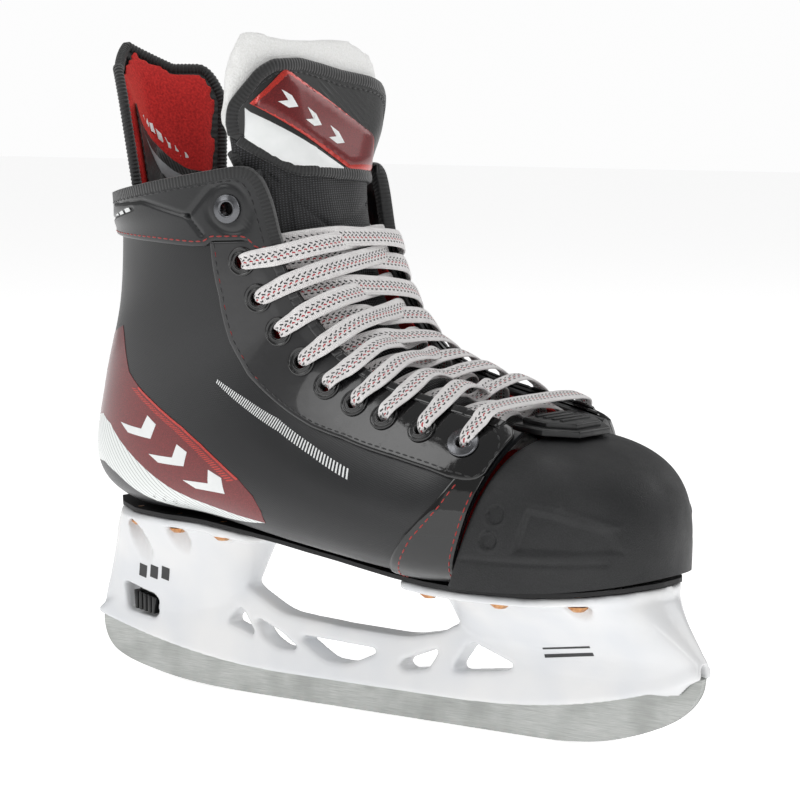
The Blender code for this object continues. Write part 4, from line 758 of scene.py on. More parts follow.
def make_stage():
    """Camera, soft lights and a plain pale floor that runs out to white."""
    target = Vector(CAMERA_TARGET)
    azimuth, elevation = math.radians(CAMERA_AZIMUTH), math.radians(CAMERA_ELEVATION)
    away = Vector((math.sin(azimuth) * math.cos(elevation), -math.cos(azimuth) * math.cos(elevation),
                   math.sin(elevation)))
    camera = bpy.data.objects.new("camera", bpy.data.cameras.new("camera"))
    bpy.context.scene.collection.objects.link(camera)
    camera.data.lens = CAMERA_LENS
    camera.data.sensor_width = 36
    camera.data.clip_end = 20
    camera.location = target + away * CAMERA_DISTANCE
    camera.rotation_euler = (-away).to_track_quat("-Z", "Y").to_euler()
    bpy.context.scene.camera = camera
    world = bpy.data.worlds.new("studio")
    world.use_nodes = True
    background = world.node_tree.nodes["Background"]
    background.inputs["Color"].default_value = colour("#ffffff")
    background.inputs["Strength"].default_value = WORLD_LIGHT
    # What the camera sees past the floor is plain white, without lighting the skate more.
    paths = add(world.node_tree, "ShaderNodeLightPath").outputs
    seen = maths(world.node_tree, "MULTIPLY_ADD", paths["Is Camera Ray"], WORLD_SEEN - WORLD_LIGHT, WORLD_LIGHT)
    world.node_tree.links.new(seen, background.inputs["Strength"])
    bpy.context.scene.world = world
    bpy.context.scene.view_settings.view_transform = "Standard"
    for name, place, aim, size, power in SOFTBOXES:
        light = bpy.data.lights.new(name, "AREA")
        light.shape = "RECTANGLE"
        light.size, light.size_y = size
        light.energy = power
        lamp = bpy.data.objects.new(name, light)
        bpy.context.scene.collection.objects.link(lamp)
        lamp.location = place
        lamp.rotation_euler = (Vector(aim) - Vector(place)).to_track_quat("-Z", "Y").to_euler()
    floor = bpy.data.meshes.new("floor")
    corners = [(x * FLOOR_HALF, y * FLOOR_HALF, FLOOR_TOP) for x, y in ((-1, -1), (1, -1), (1, 1), (-1, 1))]
    floor.from_pydata(corners, [], [(0, 1, 2, 3)])
    pale = bpy.data.materials.new("pale_floor")
    pale.use_nodes = True
    shader = pale.node_tree.nodes["Principled BSDF"]
    shader.inputs["Base Color"].default_value = colour("#fbfbfb")
    shader.inputs["Roughness"].default_value = 0.9
    shader.inputs["Emission Color"].default_value = colour("#ffffff")
    shader.inputs["Emission Strength"].default_value = FLOOR_GLOW
    floor.materials.append(pale)
    obj = bpy.data.objects.new("floor", floor)
    bpy.context.scene.collection.objects.link(obj)


make_stage()

# ---------------------------------------------------------------- boot shell, facings, collar

def eyelet_stations():
    us = np.linspace(0, LAST, 401)
    line = WALL[LATERAL](us, EYELET_INSET)
    along = np.concatenate([[0], np.cumsum(np.linalg.norm(np.diff(line, axis=0), axis=1))])
    place = float(np.interp(EYELET_FIRST, us, along))
    rows = [EYELET_FIRST]
    for i in range(1, LACED_ROWS):
        place += EYELET_PITCH_FRONT if i <= 2 else EYELET_PITCH
        rows.append(float(np.interp(place, along, us)))
    return rows + [TOP_EYELET_STATION]


EYELETS = eyelet_stations()


def eyelet_cutter():
    """Short pegs through every eyelet's place on both sides."""
    parts = []
    for side in (LATERAL, MEDIAL):
        for u in EYELETS:
            centre, normal = WALL[side](u, EYELET_INSET), WALL[side].normal(u, EYELET_INSET)
            profile = [(0.01, -9), (EYELET_HOLE, -9), (EYELET_HOLE, 9), (0.01, 9)]
            parts.append(turned("peg", profile, centre, normal, 20))
    cutter = bpy.data.objects.new("eyelet_pegs", joined("eyelet_pegs", parts))
    bpy.context.scene.collection.objects.link(cutter)
    cutter.hide_render = True
    return cutter


def punched(data, cutter):
    return smoothed(shaped(data, [("BOOLEAN", {"object": cutter, "operation": "DIFFERENCE", "solver": "EXACT"})]))


def table_of(*pairs):
    xs, ys = np.array(pairs, float).T
    return lambda v: np.interp(v, xs, ys)


facing_low = table_of((0, 23.8), (0.7, 26.3), (1.5, 26.4), (2.2, 27.6), (2.7, 30.2), (3.6, 32.2), (4.5, 34.2),
                      (5.4, 32.9), (6.5, 27.8), (7.8, 24.5), (8, 24.3))
collar_edge = table_of((0, 7.55), (7, 7.6), (9.5, 7.92), (12, 7.98), (24, 7.98), (28, 7.84), (33, 7.84),
                       (53, 7.97), (85, 8.12), (130, 8.2))


def make_shell(cutter):
    """The quarter package: both walls and the heel, in one."""
    us = LAST * spread(170, 0.004)
    reach = np.array([girth(u) for u in us])
    t = spread(190, 0.004)
    ws = 2 * reach[:, None] * t[None, :]
    a = np.repeat(us[:, None], ws.shape[1], 1)
    edge = np.minimum(np.minimum(ws, 2 * reach[:, None] - ws), (LAST - a) * 12)
    lift = rounded(edge, 1.2, 1.2) - 1.2
    outer, inner = WALL[LATERAL](a, ws, lift), WALL[LATERAL](a, ws, -SHELL_WALL - lift)
    along = np.concatenate([[0], np.cumsum(np.linalg.norm(np.diff(outer[:, 60], axis=0), axis=1))])
    uv = np.stack([np.repeat(along[:, None], ws.shape[1], 1), ws], -1)
    data = punched(grid_solid("shell", outer, inner, uv), cutter)
    finished("boot_quarter", data, "satin_composite", "boot", ["boot_shell"])


def lobe(u):
    return 10.0 * (1 - math.sqrt(max(1 - (1 - min(u / 0.55, 1)) ** 2, 0)))


def make_facings(cutter):
    """Coated leather round the eyelets, with its bead along the throat."""
    for side, label in SIDES.items():
        def low(u):
            return 0.3 + lobe(u) * 0.7

        def high(u):
            return facing_low(u) + 1.6 - lobe(u) * 0.6

        data = patch("facing", WALL[side], (0.02, 7.98), low, high, FACING_THICKNESS, radius=1.0, size=(220, 34))
        data = punched(data, cutter)
        finished(f"facing_strip_{label}", data, "patent_facing", "boot", [f"facing_{label}"])
        bead = patch("bead", WALL[side], (0.45, 7.7), lambda u: 0.1 + lobe(u), lambda u: 4.3 + lobe(u), 1.1,
                     base=GAP + FACING_THICKNESS - 0.2, radius=1.0, size=(180, 10),
                     relief=lambda a, b: -0.35 * np.exp(-(((a * 4.1) % 1 - 0.5) / 0.06) ** 2))
        finished(f"facing_bead_{label}", bead, "patent_facing", "boot")


def near_line(a, b, points, width):
    """Closeness to a polyline in surface coordinates, 1 on it and 0 beyond the width."""
    place = np.stack([a * 11.0, b], -1)
    best = np.full(a.shape, 1e9)
    for p, q in zip(points[:-1], points[1:]):
        p, q = np.array((p[0] * 11.0, p[1])), np.array((q[0] * 11.0, q[1]))
        t = np.clip(((place - p) @ (q - p)) / ((q - p) @ (q - p)), 0, 1)
        best = np.minimum(best, np.linalg.norm(place - p - t[..., None] * (q - p), axis=-1))
    return np.clip(1 - best / width, 0, 1) ** 2 * (3 - 2 * np.clip(1 - best / width, 0, 1))


COLLAR_GROOVES = (
    ((8.83, 32.4), (9.62, 19.8)), ((8.83, 32.4), (9.5, 54.0), (9.62, 78.0)), ((8.83, 32.4), (8.2, 28.0)),
    ((9.3, 62.0), (8.9, 96.0)),
)


def make_collars(cutter):
    """Stiff ankle panels with pressed grooves and a bound rim."""
    for side, label in SIDES.items():
        ws = spread(120, 0.01) * 116.2
        t = spread(44, 0.05)
        low = collar_edge(ws)
        high = np.array([LAST - max(9.0 - w, 0) ** 2 / 81.0 * 0.75 for w in ws])
        b = np.repeat(ws[:, None], len(t), 1)
        a = low[:, None] + (high - low)[:, None] * t[None, :]
        edge = np.minimum(np.minimum(a - low[:, None], high[:, None] - a) * 12, b)
        lift = GAP + rounded(edge, COLLAR_THICKNESS, 1.0)
        for groove in COLLAR_GROOVES:
            lift = lift - 0.7 * near_line(a, b, groove, 1.3)
        ring = np.hypot((a - TOP_EYELET_STATION) * 12, b - EYELET_INSET)
        lift = lift - 0.5 * np.exp(-((ring - 8.4) / 0.8) ** 2)
        lift = lift + 0.5 * np.exp(-((b - 80) / 30) ** 2) * np.exp(-((a - 9.0) / 0.5) ** 2)
        top = WALL[side](a, b, lift)
        uv = np.stack([b, a * 11.0], -1)
        data = punched(grid_solid("collar", top, WALL[side](a, b, GAP), uv), cutter)
        finished(f"collar_panel_{label}", data, "coated_collar", "boot", [f"collar_{label}"])
        # Binding tape folded over the collar's front edge and rim.
        rim = [(7.7, -0.4), (8.2, -0.4), (8.8, -0.3), (9.2, 0.4), (9.6, 2.2), (9.85, 5.0), (9.98, 9.0)]
        rim += [(LAST, w) for w in (14, 20, 30, 45, 60, 75, 90, 104)]
        path, _ = curve_through([(*WALL[side](u, w, -0.2), *WALL[side].normal(u, w)) for u, w in rim], 1.2)
        half = np.array([(-2.7, -2.3), (-3.0, -1.2), (-3.0, 1.6), (-2.7, 2.7), (2.0, 2.7), (2.6, 2.2), (2.6, -1.7),
                         (2.0, -2.3)])
        inward = path[:, 3:] / np.linalg.norm(path[:, 3:], axis=1, keepdims=True)
        data = sweep("rim", path[:, :3], inward, half[:, ::-1] * (1.0, 0.8))
        finished(f"collar_binding_{label}", data, "binding_tape", "boot")


def make_bands():
    """Patent strips behind the toe cap."""
    rear = table_of((0, 0.52), (27, 0.6), (38, 0.7), (53, 0.92), (64, 1.0), (74, 1.06), (110, 1.1))
    for side, label in SIDES.items():
        ws = 22.0 + spread(80, 0.02) * (girth(0.3) - 26)
        t = spread(24, 0.08)
        a = 0.005 + (rear(ws)[:, None] - 0.005) * t[None, :]
        b = np.repeat(ws[:, None], len(t), 1)
        edge = np.minimum(np.minimum(a - 0.005, rear(ws)[:, None] - a) * 20, b - 22.0)
        lift = 0.15 + rounded(edge, BAND_THICKNESS, 0.8)
        data = grid_solid("band", WALL[side](a, b, lift), WALL[side](a, b, 0.15), np.stack([a * 20, b], -1))
        finished(f"toe_band_strip_{label}", data, "patent_band", "boot", [f"toe_band_{label}"])


pegs = eyelet_cutter()
make_shell(pegs)
make_facings(pegs)
make_collars(pegs)
make_bands()
bpy.data.objects.remove(pegs)

# ---------------------------------------------------------------- toe

TOE_WEDGE = ((94, 90.5), (89.5, 75), (121.5, 75), (118, 83), (104, 88.5))
TOE_DOTS = ((82.5, 88), (80.5, 79))
TOE_BROW = ((80, 96), (104, 91.5), (119, 84.5))


def outline_distance(x, z, outline):
    """Distance to a closed outline, positive inside."""
    inside = np.zeros(x.shape, bool)
    best = np.full(x.shape, 1e9)
    for (x0, z0), (x1, z1) in zip(outline, outline[1:] + outline[:1]):
        t = np.clip(((x - x0) * (x1 - x0) + (z - z0) * (z1 - z0)) / ((x1 - x0) ** 2 + (z1 - z0) ** 2), 0, 1)
        best = np.minimum(best, np.hypot(x - x0 - t * (x1 - x0), z - z0 - t * (z1 - z0)))
        crosses = (z0 > z) != (z1 > z)
        inside ^= crosses & (x < (x1 - x0) * (z - z0) / ((z1 - z0) or 1e-9) + x0)
    return np.where(inside, best, -best)


def make_toe_cap():
    """Rounded cap with its recessed wedge, two dots and brow."""
    theta = np.radians(np.linspace(-90, 90, 300))[:, None]
    phi = np.radians(90) * (np.linspace(0, 1, 130) ** 1.15)[None, :]
    theta, phi = np.broadcast_arrays(theta, phi)
    points = toe(theta, phi)
    across, up = np.gradient(points, axis=0), np.gradient(points, axis=1)
    normal = np.cross(across, up)
    length = np.linalg.norm(normal, axis=-1, keepdims=True)
    radial = points - np.array((78, 0, 82))
    radial = radial / np.linalg.norm(radial, axis=-1, keepdims=True)
    normal = np.where(length > 1e-6, normal / np.maximum(length, 1e-6), radial)
    normal *= np.sign((normal * radial).sum(-1, keepdims=True))
    x, z = points[..., 0], points[..., 2]
    wedge = outline_distance(x, z, TOE_WEDGE)
    slope = 1.7 - 1.2 * (x - 90) / 31
    depth = slope * np.clip((wedge + 0.4) / 1.8, 0, 1)
    for dot in TOE_DOTS:
        ring = np.hypot(x - dot[0], z - dot[1])
        depth = depth + 1.0 * np.clip((3.4 - ring) / 0.5, 0, 1) - 0.25 * np.exp(-((ring - 3.9) / 0.45) ** 2)
    for p, q in zip(TOE_BROW[:-1], TOE_BROW[1:]):
        t = np.clip(((x - p[0]) * (q[0] - p[0]) + (z - p[1]) * (q[1] - p[1]))
                    / ((q[0] - p[0]) ** 2 + (q[1] - p[1]) ** 2), 0, 1)
        gap = np.hypot(x - p[0] - t * (q[0] - p[0]), z - p[1] - t * (q[1] - p[1]))
        depth = depth - 0.35 * np.exp(-(gap / 1.3) ** 2)
    depth = depth + 0.5 * np.exp(-((z - 71.5) / 0.7) ** 2) * (x < 118)
    seam = np.clip((np.radians(90) - np.abs(theta)) / np.radians(3.5), 0, 1)
    depth = depth * np.minimum(seam, 1) + 0.9 * (1 - np.sqrt(np.maximum(1 - (1 - seam) ** 2, 0)))
    top = points - normal * depth[..., None]
    low = points - normal * (TOE_WALL + 0.6)
    arc = np.concatenate([[0], np.cumsum(np.linalg.norm(np.diff(points[:, 40], axis=0), axis=1))])
    uv = np.stack([np.repeat(arc[:, None], points.shape[1], 1), z], -1)
    data = grid_solid("cap", top, low, uv, 50)
    finished("toe_cap_shell", data, "grained_cap", "boot", ["toe_cap"])
    # Flat web under the cap that ties it to the sole board.
    rim = points[:, 0]
    inner = rim + (np.array((70, 1.5, 0)) * (1, 1, 0) + rim * (0, 0, 1) - rim) * 0.35
    rows = np.stack([rim - normal[:, 0] * 1.2, inner], 1)
    rows[..., 2] += 0.2
    data = grid_solid("web", rows + (0, 0, 1.2), rows, np.stack([rows[..., 0], rows[..., 1]], -1))
    finished("toe_cap_web", data, "grained_cap", "boot")


def make_toe_bridge():
    """Ribbed plate that ties the cap to the tongue."""
    outline = np.array(((-9, -19), (4, -19), (14, -10), (14, 10), (4, 19), (-9, 19)), float)
    parts = []
    for low, high, scale, inset in ((0, 2.6, 1.0, 0.5), (2.4, 4.6, 0.8, 0.4)):
        rings = []
        for height, share in ((low, 1), (high - inset, 1), (high, 1 - inset / 14)):
            ring = outline * scale * share
            rings.append([(80 + x, y + 1.5, 113.6 + height - 0.1 * x) for x, y in ring])
        verts = [p for ring in rings for p in ring]
        k = len(outline)
        faces = [tuple(range(k))[::-1], tuple(range(2 * k, 3 * k))] + grid_faces(3, k, closed=True)
        parts.append(mesh_of("step", verts, faces))
    # Ribs on the upper step.
    for i in range(4):
        x = 74.5 + 3.6 * i
        verts = [(x + dx, 1.5 + dy, 118.3 - 0.1 * (x - 80) + dz)
                 for dz, s in ((-0.4, 1.0), (0.5, 0.8))
                 for dx, dy in ((-0.9 * s, -9), (0.9 * s, -9), (0.9 * s, 9), (-0.9 * s, 9))]
        parts.append(mesh_of("rib", verts, [(3, 2, 1, 0), (4, 5, 6, 7)] + grid_faces(2, 4, closed=True)))
    data = smoothed(shaped(joined("bridge", parts), [("BEVEL", {"width": 0.35 * MM, "segments": 3})]))
    finished("toe_bridge_plate", data, "moulded_black", "boot", ["toe_bridge"])


# ---------------------------------------------------------------- tongue

tongue_half = table_of((0, 22), (1, 26), (2, 28), (3, 29), (4, 30), (5, 32), (6, 34), (7, 36), (8, 38), (9, 43),
                       (9.6, 48), (10.3, 50), (12, 50))
tongue_top = table_of((-1, 10.45), (-0.93, 10.85), (-0.86, 11.15), (-0.74, 11.6), (-0.62, 11.84), (-0.34, 11.88),
                      (0.14, 11.5), (0.54, 11.3), (0.7, 11.18), (0.88, 10.9), (1, 10.4))
head_low = table_of((-1, 9.95), (-0.6, 9.0), (-0.5, 8.86), (0, 8.7), (0.5, 8.6), (1, 8.6))


def tongue_grid(name, low, high, shares, count, thickness, base, radius, relief=None, edge_scale=14.0):
    s = shares[None, :]
    t = spread(count, 0.05)[:, None]
    lows, highs = low(s), high(s)
    u = lows + (highs - lows) * t
    across = s * tongue_half(u)
    edge = np.minimum(np.minimum(u - lows, highs - u) * edge_scale, (1 - np.abs(s)) * tongue_half(u))
    lift = base + rounded(edge, thickness, radius)
    if relief is not None:
        lift = lift + relief(u, across)
    uv = np.stack([u * 12.5, across], -1)
    return grid_solid(name, tongue(u, across, lift), tongue(u, across, base - 0.8), uv)


def make_tongue():
    """The tongue face, its stitched head and the bindings."""
    shares = 2 * spread(90, 0.03) - 1

    def pads(u, across):
        """Soft quilting: a seam down each side and two diagonal seams across the mesh."""
        seams = np.exp(-((np.abs(across) - 26) / 1.4) ** 2) * (u < 8.9)
        for (u0, a0), (u1, a1) in (((6.93, -26), (8.0, 22)), ((8.9, -33), (7.4, -10)), ((6.9, -26), (5.6, 24))):
            ramped = u0 + (u1 - u0) * (across - a0) / (a1 - a0)
            inside = (across > min(a0, a1)) & (across < max(a0, a1))
            seams = seams + np.exp(-((u - ramped) * 14 / 1.3) ** 2) * inside
        return -0.9 * np.minimum(seams, 1) + 0.5 * np.sin(u * 2.1) * np.cos(across / 19)

    data = tongue_grid("mesh", lambda s: 0.15 + 0 * s, lambda s: head_low(s) + 0.35, shares, 190, 1.3, -1.2, 0.8, pads)
    finished("tongue_face", data, "tongue_mesh", "boot", ["tongue_cover"])
    data = tongue_grid("head", head_low, tongue_top, shares, 110, 2.0, -1.0, 1.4)
    finished("tongue_head", data, "tongue_coated", "boot")
    # Bound edge round the head.
    ring = [(float(head_low(s)) + 0.1, s) for s in np.linspace(-0.93, 0.9, 26)]
    ring += [(u, 0.965) for u in np.linspace(8.75, 10.3, 9)]
    ring += [(float(tongue_top(s)) - 0.08, s) for s in np.linspace(0.95, -0.95, 40)]
    ring += [(u, -0.965) for u in np.linspace(10.3, 10.0, 3)]
    loop = np.array([tongue(u, s * float(tongue_half(u)), 0.7) for u, s in ring])
    out = np.array([tongue(u, s * float(tongue_half(u)), 1.7) for u, s in ring]) - loop
    path, _ = curve_through(np.concatenate([loop, out], 1), 1.0)
    profile = circle(1.0, 12) * (1.15, 2.4)
    data = sweep("edge", path[:, :3], path[:, 3:], profile)
    finished("tongue_head_binding", data, "binding_tape", "boot")
    for sign, label in ((-1, "lateral"), (1, "medial")):
        us = np.linspace(0.4, 9.6 if sign < 0 else 8.9, 90)
        edge = sign * (tongue_half(us) - 0.4)
        path = tongue(us, edge, -1.2)
        data = sweep("side", path, tongue(us, edge, -0.2) - path, circle(1.0, 12) * (1.9, 2.2))
        finished(f"tongue_side_binding_{label}", data, "binding_tape", "boot")
    make_badge()


def make_badge():
    """Moulded badge: a bright-edged red band with forward chevrons over a white panel."""
    scale = (12.5, 1.0)
    band = ((11.5, -28.5), (11.62, -26.0), (9.75, 24.0), (8.84, 24.6), (8.84, 6.0), (10.72, -41.8))
    finished("badge_band_edge", decal("edge", band, tongue, 0.9, 0.8, scale, 1.8, 0.5), "foil_bright_red", "boot",
             ["tongue_badge"])
    centre = np.mean(band, 0)
    inner = [tuple(centre + (np.array(p) - centre) * (0.9, 0.955)) for p in band]
    finished("badge_band", decal("band", inner, tongue, 1.3, 0.75, scale, 1.8, 0.4), "foil_red", "boot")
    white = ((10.62, -43.6), (9.9, -43.6), (9.12, -28.5), (8.86, -8.0), (8.86, 3.4), (10.5, -41.6))
    data = decal("panel", white, tongue, 0.9, 0.8, scale, 1.8, 0.5)
    finished("badge_panel", data, "print_white", "boot")
    way = np.array((band[4][0] - band[5][0], band[4][1] - band[5][1]))
    parts = []
    for k, share in enumerate((0.14, 0.40, 0.66)):
        start = np.array(band[5]) + way * share
        u0, w0 = start[0] + 0.42, start[1] + 5.0
        step = way / np.linalg.norm(way * scale)
        across = np.array((0.55, 3.2)) / 12.5
        shape = []
        for along, up in ((0, -3.6), (5.0, -3.6), (9.0, 0), (5.0, 3.6), (0, 3.6), (4.0, 0)):
            shape.append(tuple(np.array((u0, w0)) + step * along + across * up))
        parts.append(decal("mark", shape, tongue, 1.95, 0.5, scale, 1.8, 0.2))
    finished("badge_chevrons", joined("chevrons", parts), "print_white", "boot")


def padded_by_cloth(data, voxel_mm, reach_mm, pressure=4.0):
    """Remeshes a closed form and swells it under cloth pressure, moving no point further than reach_mm."""
    base = shaped(data, [("REMESH", {"mode": "VOXEL", "voxel_size": voxel_mm * MM, "use_smooth_shade": True})])
    rest = np.array([v.co for v in base.vertices])
    obj = bpy.data.objects.new("cloth", base)
    bpy.context.scene.collection.objects.link(obj)
    cloth = obj.modifiers.new("cloth", "CLOTH")
    cloth.settings.use_pressure = True
    cloth.settings.uniform_pressure_force = pressure
    cloth.settings.effector_weights.gravity = 0
    cloth.settings.quality = 5
    for number in range(1, 21):
        bpy.context.scene.frame_set(number)
    graph = bpy.context.evaluated_depsgraph_get()
    swollen = bpy.data.meshes.new_from_object(obj.evaluated_get(graph))
    bpy.data.objects.remove(obj)
    moved = np.array([v.co for v in swollen.vertices]) - rest
    far = np.linalg.norm(moved, axis=1, keepdims=True)
    moved *= np.minimum(1, reach_mm * MM / np.maximum(far, 1e-9))
    swollen.vertices.foreach_set("co", (rest + moved).astype(np.float32).ravel())
    base = swollen
    return base


def make_felt():
    """Thick felt of the tongue, puffed by a cloth simulation."""
    shares = np.linspace(-1, 1, 40)
    us = np.linspace(0.3, 12, 90)
    u, s = np.meshgrid(us, shares, indexing="ij")
    wide = np.interp(u, (0, 8.8, 9.5, 10.5, 11.4, 12), (24, 41, 49, 54, 50, 40))
    across = s * wide
    top, low = tongue(u, across, -2.4), tongue(u, across, -8.9)
    rise = np.clip((u - 11) / 1, 0, 1)[..., None] * 11.5
    dip = (1 - 0.45 * np.clip((across + 30) / 70, 0, 1) + 0.12 * np.sin(across / 9))[..., None]
    top = top + Z_AXIS * rise * dip - (1.8, 0, 0) * rise / 11.5
    low = low + Z_AXIS * rise * dip - (1.8, 0, 0) * rise / 11.5
    data = grid_solid("felt", top, low, np.stack([u * 12.5, across], -1))
    data = padded_by_cloth(data, 2.6, 1.2)
    data = shaped(data, [("SMOOTH", {"factor": 0.5, "iterations": 4}),
                         ("SUBSURF", {"levels": 1, "render_levels": 1})])
    obj = finished("felt_tongue", smoothed(data, 80), "white_felt", "boot", ["tongue_felt"])


make_toe_cap()
make_toe_bridge()
make_tongue()
make_felt()


# ---------------------------------------------------------------- tendon guard

def make_guard():
    """Tendon guard: shell, lining pad, panels and bound rim."""
    heights, across = np.meshgrid(spread(70, 0.01), 2 * spread(90, 0.01) - 1, indexing="ij")
    edge = np.minimum(np.minimum(heights, 1 - heights) * 65, (1 - np.abs(across)) * 45)
    lift = rounded(edge, 0.8, 0.8) - 0.8
    swell = 0.6 * np.exp(-((heights - 0.35) / 0.12) ** 2) * np.exp(-(across / 0.5) ** 2)
    outer = guard(heights, across, 0)
    low = guard(heights, across, GUARD_THICKNESS)
    away = outer - low
    away /= np.linalg.norm(away, axis=-1, keepdims=True)
    outer = outer + away * (lift - 0.5 * swell)[..., None]
    uv = np.stack([heights * 70, across * 55], -1)
    data = grid_solid("guard", outer, low, uv)
    finished("tendon_guard_shell", data, "guard_shell", "guard", ["tendon_guard"])
    # Lining: red brushed felt, swollen between its stitched edges, over a black lower panel.
    inset = GUARD_THICKNESS + GAP + 0.3
    heights, across = np.meshgrid(np.linspace(0.03, 0.975, 60), np.linspace(-0.955, 0.955, 70), indexing="ij")
    edge = np.minimum(np.minimum(heights - 0.03, 0.975 - heights) * 65, (0.955 - np.abs(across)) * 45)
    depth = inset + 0.6 + 2.6 * np.clip(edge / 9, 0, 1) ** 0.5
    front, back = guard(heights, across, depth), guard(heights, across, inset)
    uv = np.stack([heights * 65, across * 50], -1)
    data = padded_by_cloth(grid_solid("lining", front, back, uv), 1.7, 0.5, 2.0)
    data = shaped(data, [("SMOOTH", {"factor": 0.5, "iterations": 3}), ("SUBSURF", {"levels": 1, "render_levels": 1})])
    obj = finished("guard_lining_pad", smoothed(data, 80), "red_lining", "guard", ["guard_lining"])

    def inside(s, h, lift):
        return guard(h / 70, s / 50, inset + 3.55 + lift)

    # Dark lower panel sewn on the lining, with a grey sweep and short white bars along its edge.
    dark = [(-46, 58), (-38, 54), (-30, 49), (-22, 44), (-12, 37.5), (0, 31.5), (14, 27.5), (30, 24.5), (47, 23)]
    outline = dark + [(47, 3), (-46, 3)]
    data = decal("dark", outline, inside, 0, 0.5, (1, 1), 2.0, 0.3)
    finished("guard_lower_panel", data, "tongue_coated", "guard")
    sweep_top = [(-30, 45), (-22, 39), (-12, 32), (0, 26), (14, 22.5), (32, 20.5)]
    sweep_low = [(32, 15.5), (14, 16.5), (0, 20.5), (-10, 28), (-20, 37)]
    data = decal("grey", sweep_top + sweep_low, inside, 0.45, 0.3, (1, 1), 2.0, 0.15)
    finished("guard_sweep", data, "print_grey", "guard")
    bars = []
    for k in range(7):
        s = -17 + 7.0 * k
        h = float(np.interp(s, *np.array(dark).T)) + 5.2
        bars.append(decal("bar", ((s, h - 1.3), (s + 4.6, h - 2.6), (s + 3.4, h + 1.2), (s - 1.2, h + 2.5)), inside,
                          -0.1, 0.4, (1, 1), 2.0, 0.12))
    finished("guard_print", joined("bars", bars), "print_white", "guard")
    # Ribbed binding round the rim: a bead with close crosswise ribs.
    rim = [(h, -0.99) for h in np.linspace(0.02, 0.97, 18)] + [(0.99, s) for s in np.linspace(-0.97, 0.97, 60)]
    rim += [(h, 0.99) for h in np.linspace(0.97, 0.02, 18)]
    loop = np.array([guard(h, s, GUARD_THICKNESS * 0.5 + 0.4) for h, s in rim])
    out = loop - np.array([guard(h, s, GUARD_THICKNESS * 0.5 + 1.4) for h, s in rim])
    path, places = curve_through(np.concatenate([loop, out], 1), 0.35)
    ribs = 1 + 0.07 * np.sin(places / 1.5 * math.tau)
    profile = (circle(1.0, 14) * (1.9, 2.1))[None] * ribs[:, None, None]
    data = sweep("binding", path[:, :3], path[:, 3:], profile)
    finished("guard_binding", data, "binding_tape", "guard")


def make_strap():
    """Webbing loop at the heel, above the quarter."""
    us = np.linspace(7.3, 9.9, 40)
    t = np.linspace(0, 1, 26)
    u, s = np.meshgrid(us, t, indexing="ij")
    reach = np.array([girth(v) for v in us])[:, None]
    w = reach - 7.5 + s * 15.0
    edge = np.minimum(np.minimum(u - 7.3, 9.9 - u) * 8, np.minimum(s, 1 - s) * 15)
    top = WALL[LATERAL](u, w, GAP + rounded(edge, 2.2, 0.9))
    uv = np.stack([u * 9, w], -1)
    data = grid_solid("strap", top, WALL[LATERAL](u, w, GAP), uv)
    finished("heel_loop", data, "binding_tape", "boot", ["guard_strap"])


# ---------------------------------------------------------------- inside of the boot

def make_insides():
    """Red lining and the pads at the ankles."""
    us = np.linspace(0.5, 7.9, 90)
    u = np.repeat(us[:, None], 90, 1)
    reach = np.array([girth(v) for v in us])[:, None]
    w = 2.0 + (2 * reach - 4.0) * np.linspace(0, 1, 90)[None, :]
    outer = WALL[LATERAL](u, w, -SHELL_WALL - GAP)
    thick = np.interp(np.minimum(w, 2 * reach - w), (0, 22, 34), (0.7, 0.9, LINER_THICKNESS))
    inner = WALL[LATERAL](u, w, -SHELL_WALL - GAP - thick)
    data = grid_solid("liner", outer, inner, np.stack([u * 20, w], -1))
    finished("boot_lining", data, "red_lining", "boot", ["boot_liner"])
    for side, label in SIDES.items():
        us, t = np.linspace(8.1, 9.85, 34), np.linspace(0, 1, 60)
        u, s = np.meshgrid(us, t, indexing="ij")
        w = 15 + s * 62
        edge = np.minimum(np.minimum(u - 8.1, 9.85 - u) * 11, np.minimum(w - 15, 77 - w))
        depth = 1.4 + 3.0 * np.clip(edge / 8, 0, 1) ** 0.5
        data = grid_solid("pad", WALL[side](u, w, -SHELL_WALL - GAP), WALL[side](u, w, -SHELL_WALL - GAP - depth),
                          np.stack([u * 11, w], -1))
        data = padded_by_cloth(data, 2.2, 0.6, 3.0)
        data = shaped(data, [("SMOOTH", {"factor": 0.5, "iterations": 2}),
                             ("SUBSURF", {"levels": 1, "render_levels": 1})])
        obj = finished(f"collar_pad_{label}", smoothed(data, 80), "black_lining", "boot",
                       [f"collar_padding_{label}"])


# ---------------------------------------------------------------- eyelets and laces

def make_eyelets():
    """Enamelled eyelets, with the front and top pairs in gunmetal."""
    for side, label in SIDES.items():
        for i, u in enumerate(EYELETS):
            metal = i in (0, LACED_ROWS)
            layer = COLLAR_THICKNESS if i == LACED_ROWS else FACING_THICKNESS
            outer = 5.9 if i == 0 else 5.5
            profile = [(2.5, -3.6), (2.5, 0.6), (2.6, 0.95), (2.9, 1.18), (3.2, 1.25), (3.5, 1.18), (3.7, 1.0)]
            if not metal:
                profile += [(3.9, 0.72), (4.1, 0.64), (4.5, 0.66), (4.7, 0.85), (4.9, 0.95)]
            profile += [(outer - 0.5, 0.95), (outer - 0.15, 0.75), (outer, 0.4), (outer, 0.0), (3.1, 0.0), (3.1, -3.6)]
            place = WALL[side](u, EYELET_INSET, GAP + layer)
            data = turned("eyelet", profile, place, WALL[side].normal(u, EYELET_INSET), 48)
            finished(f"eyelet_ring_{label}_{i + 1}", data, "gunmetal" if metal else "black_enamel", "boot",
                     [f"eyelet_{label}_{i + 1}"])


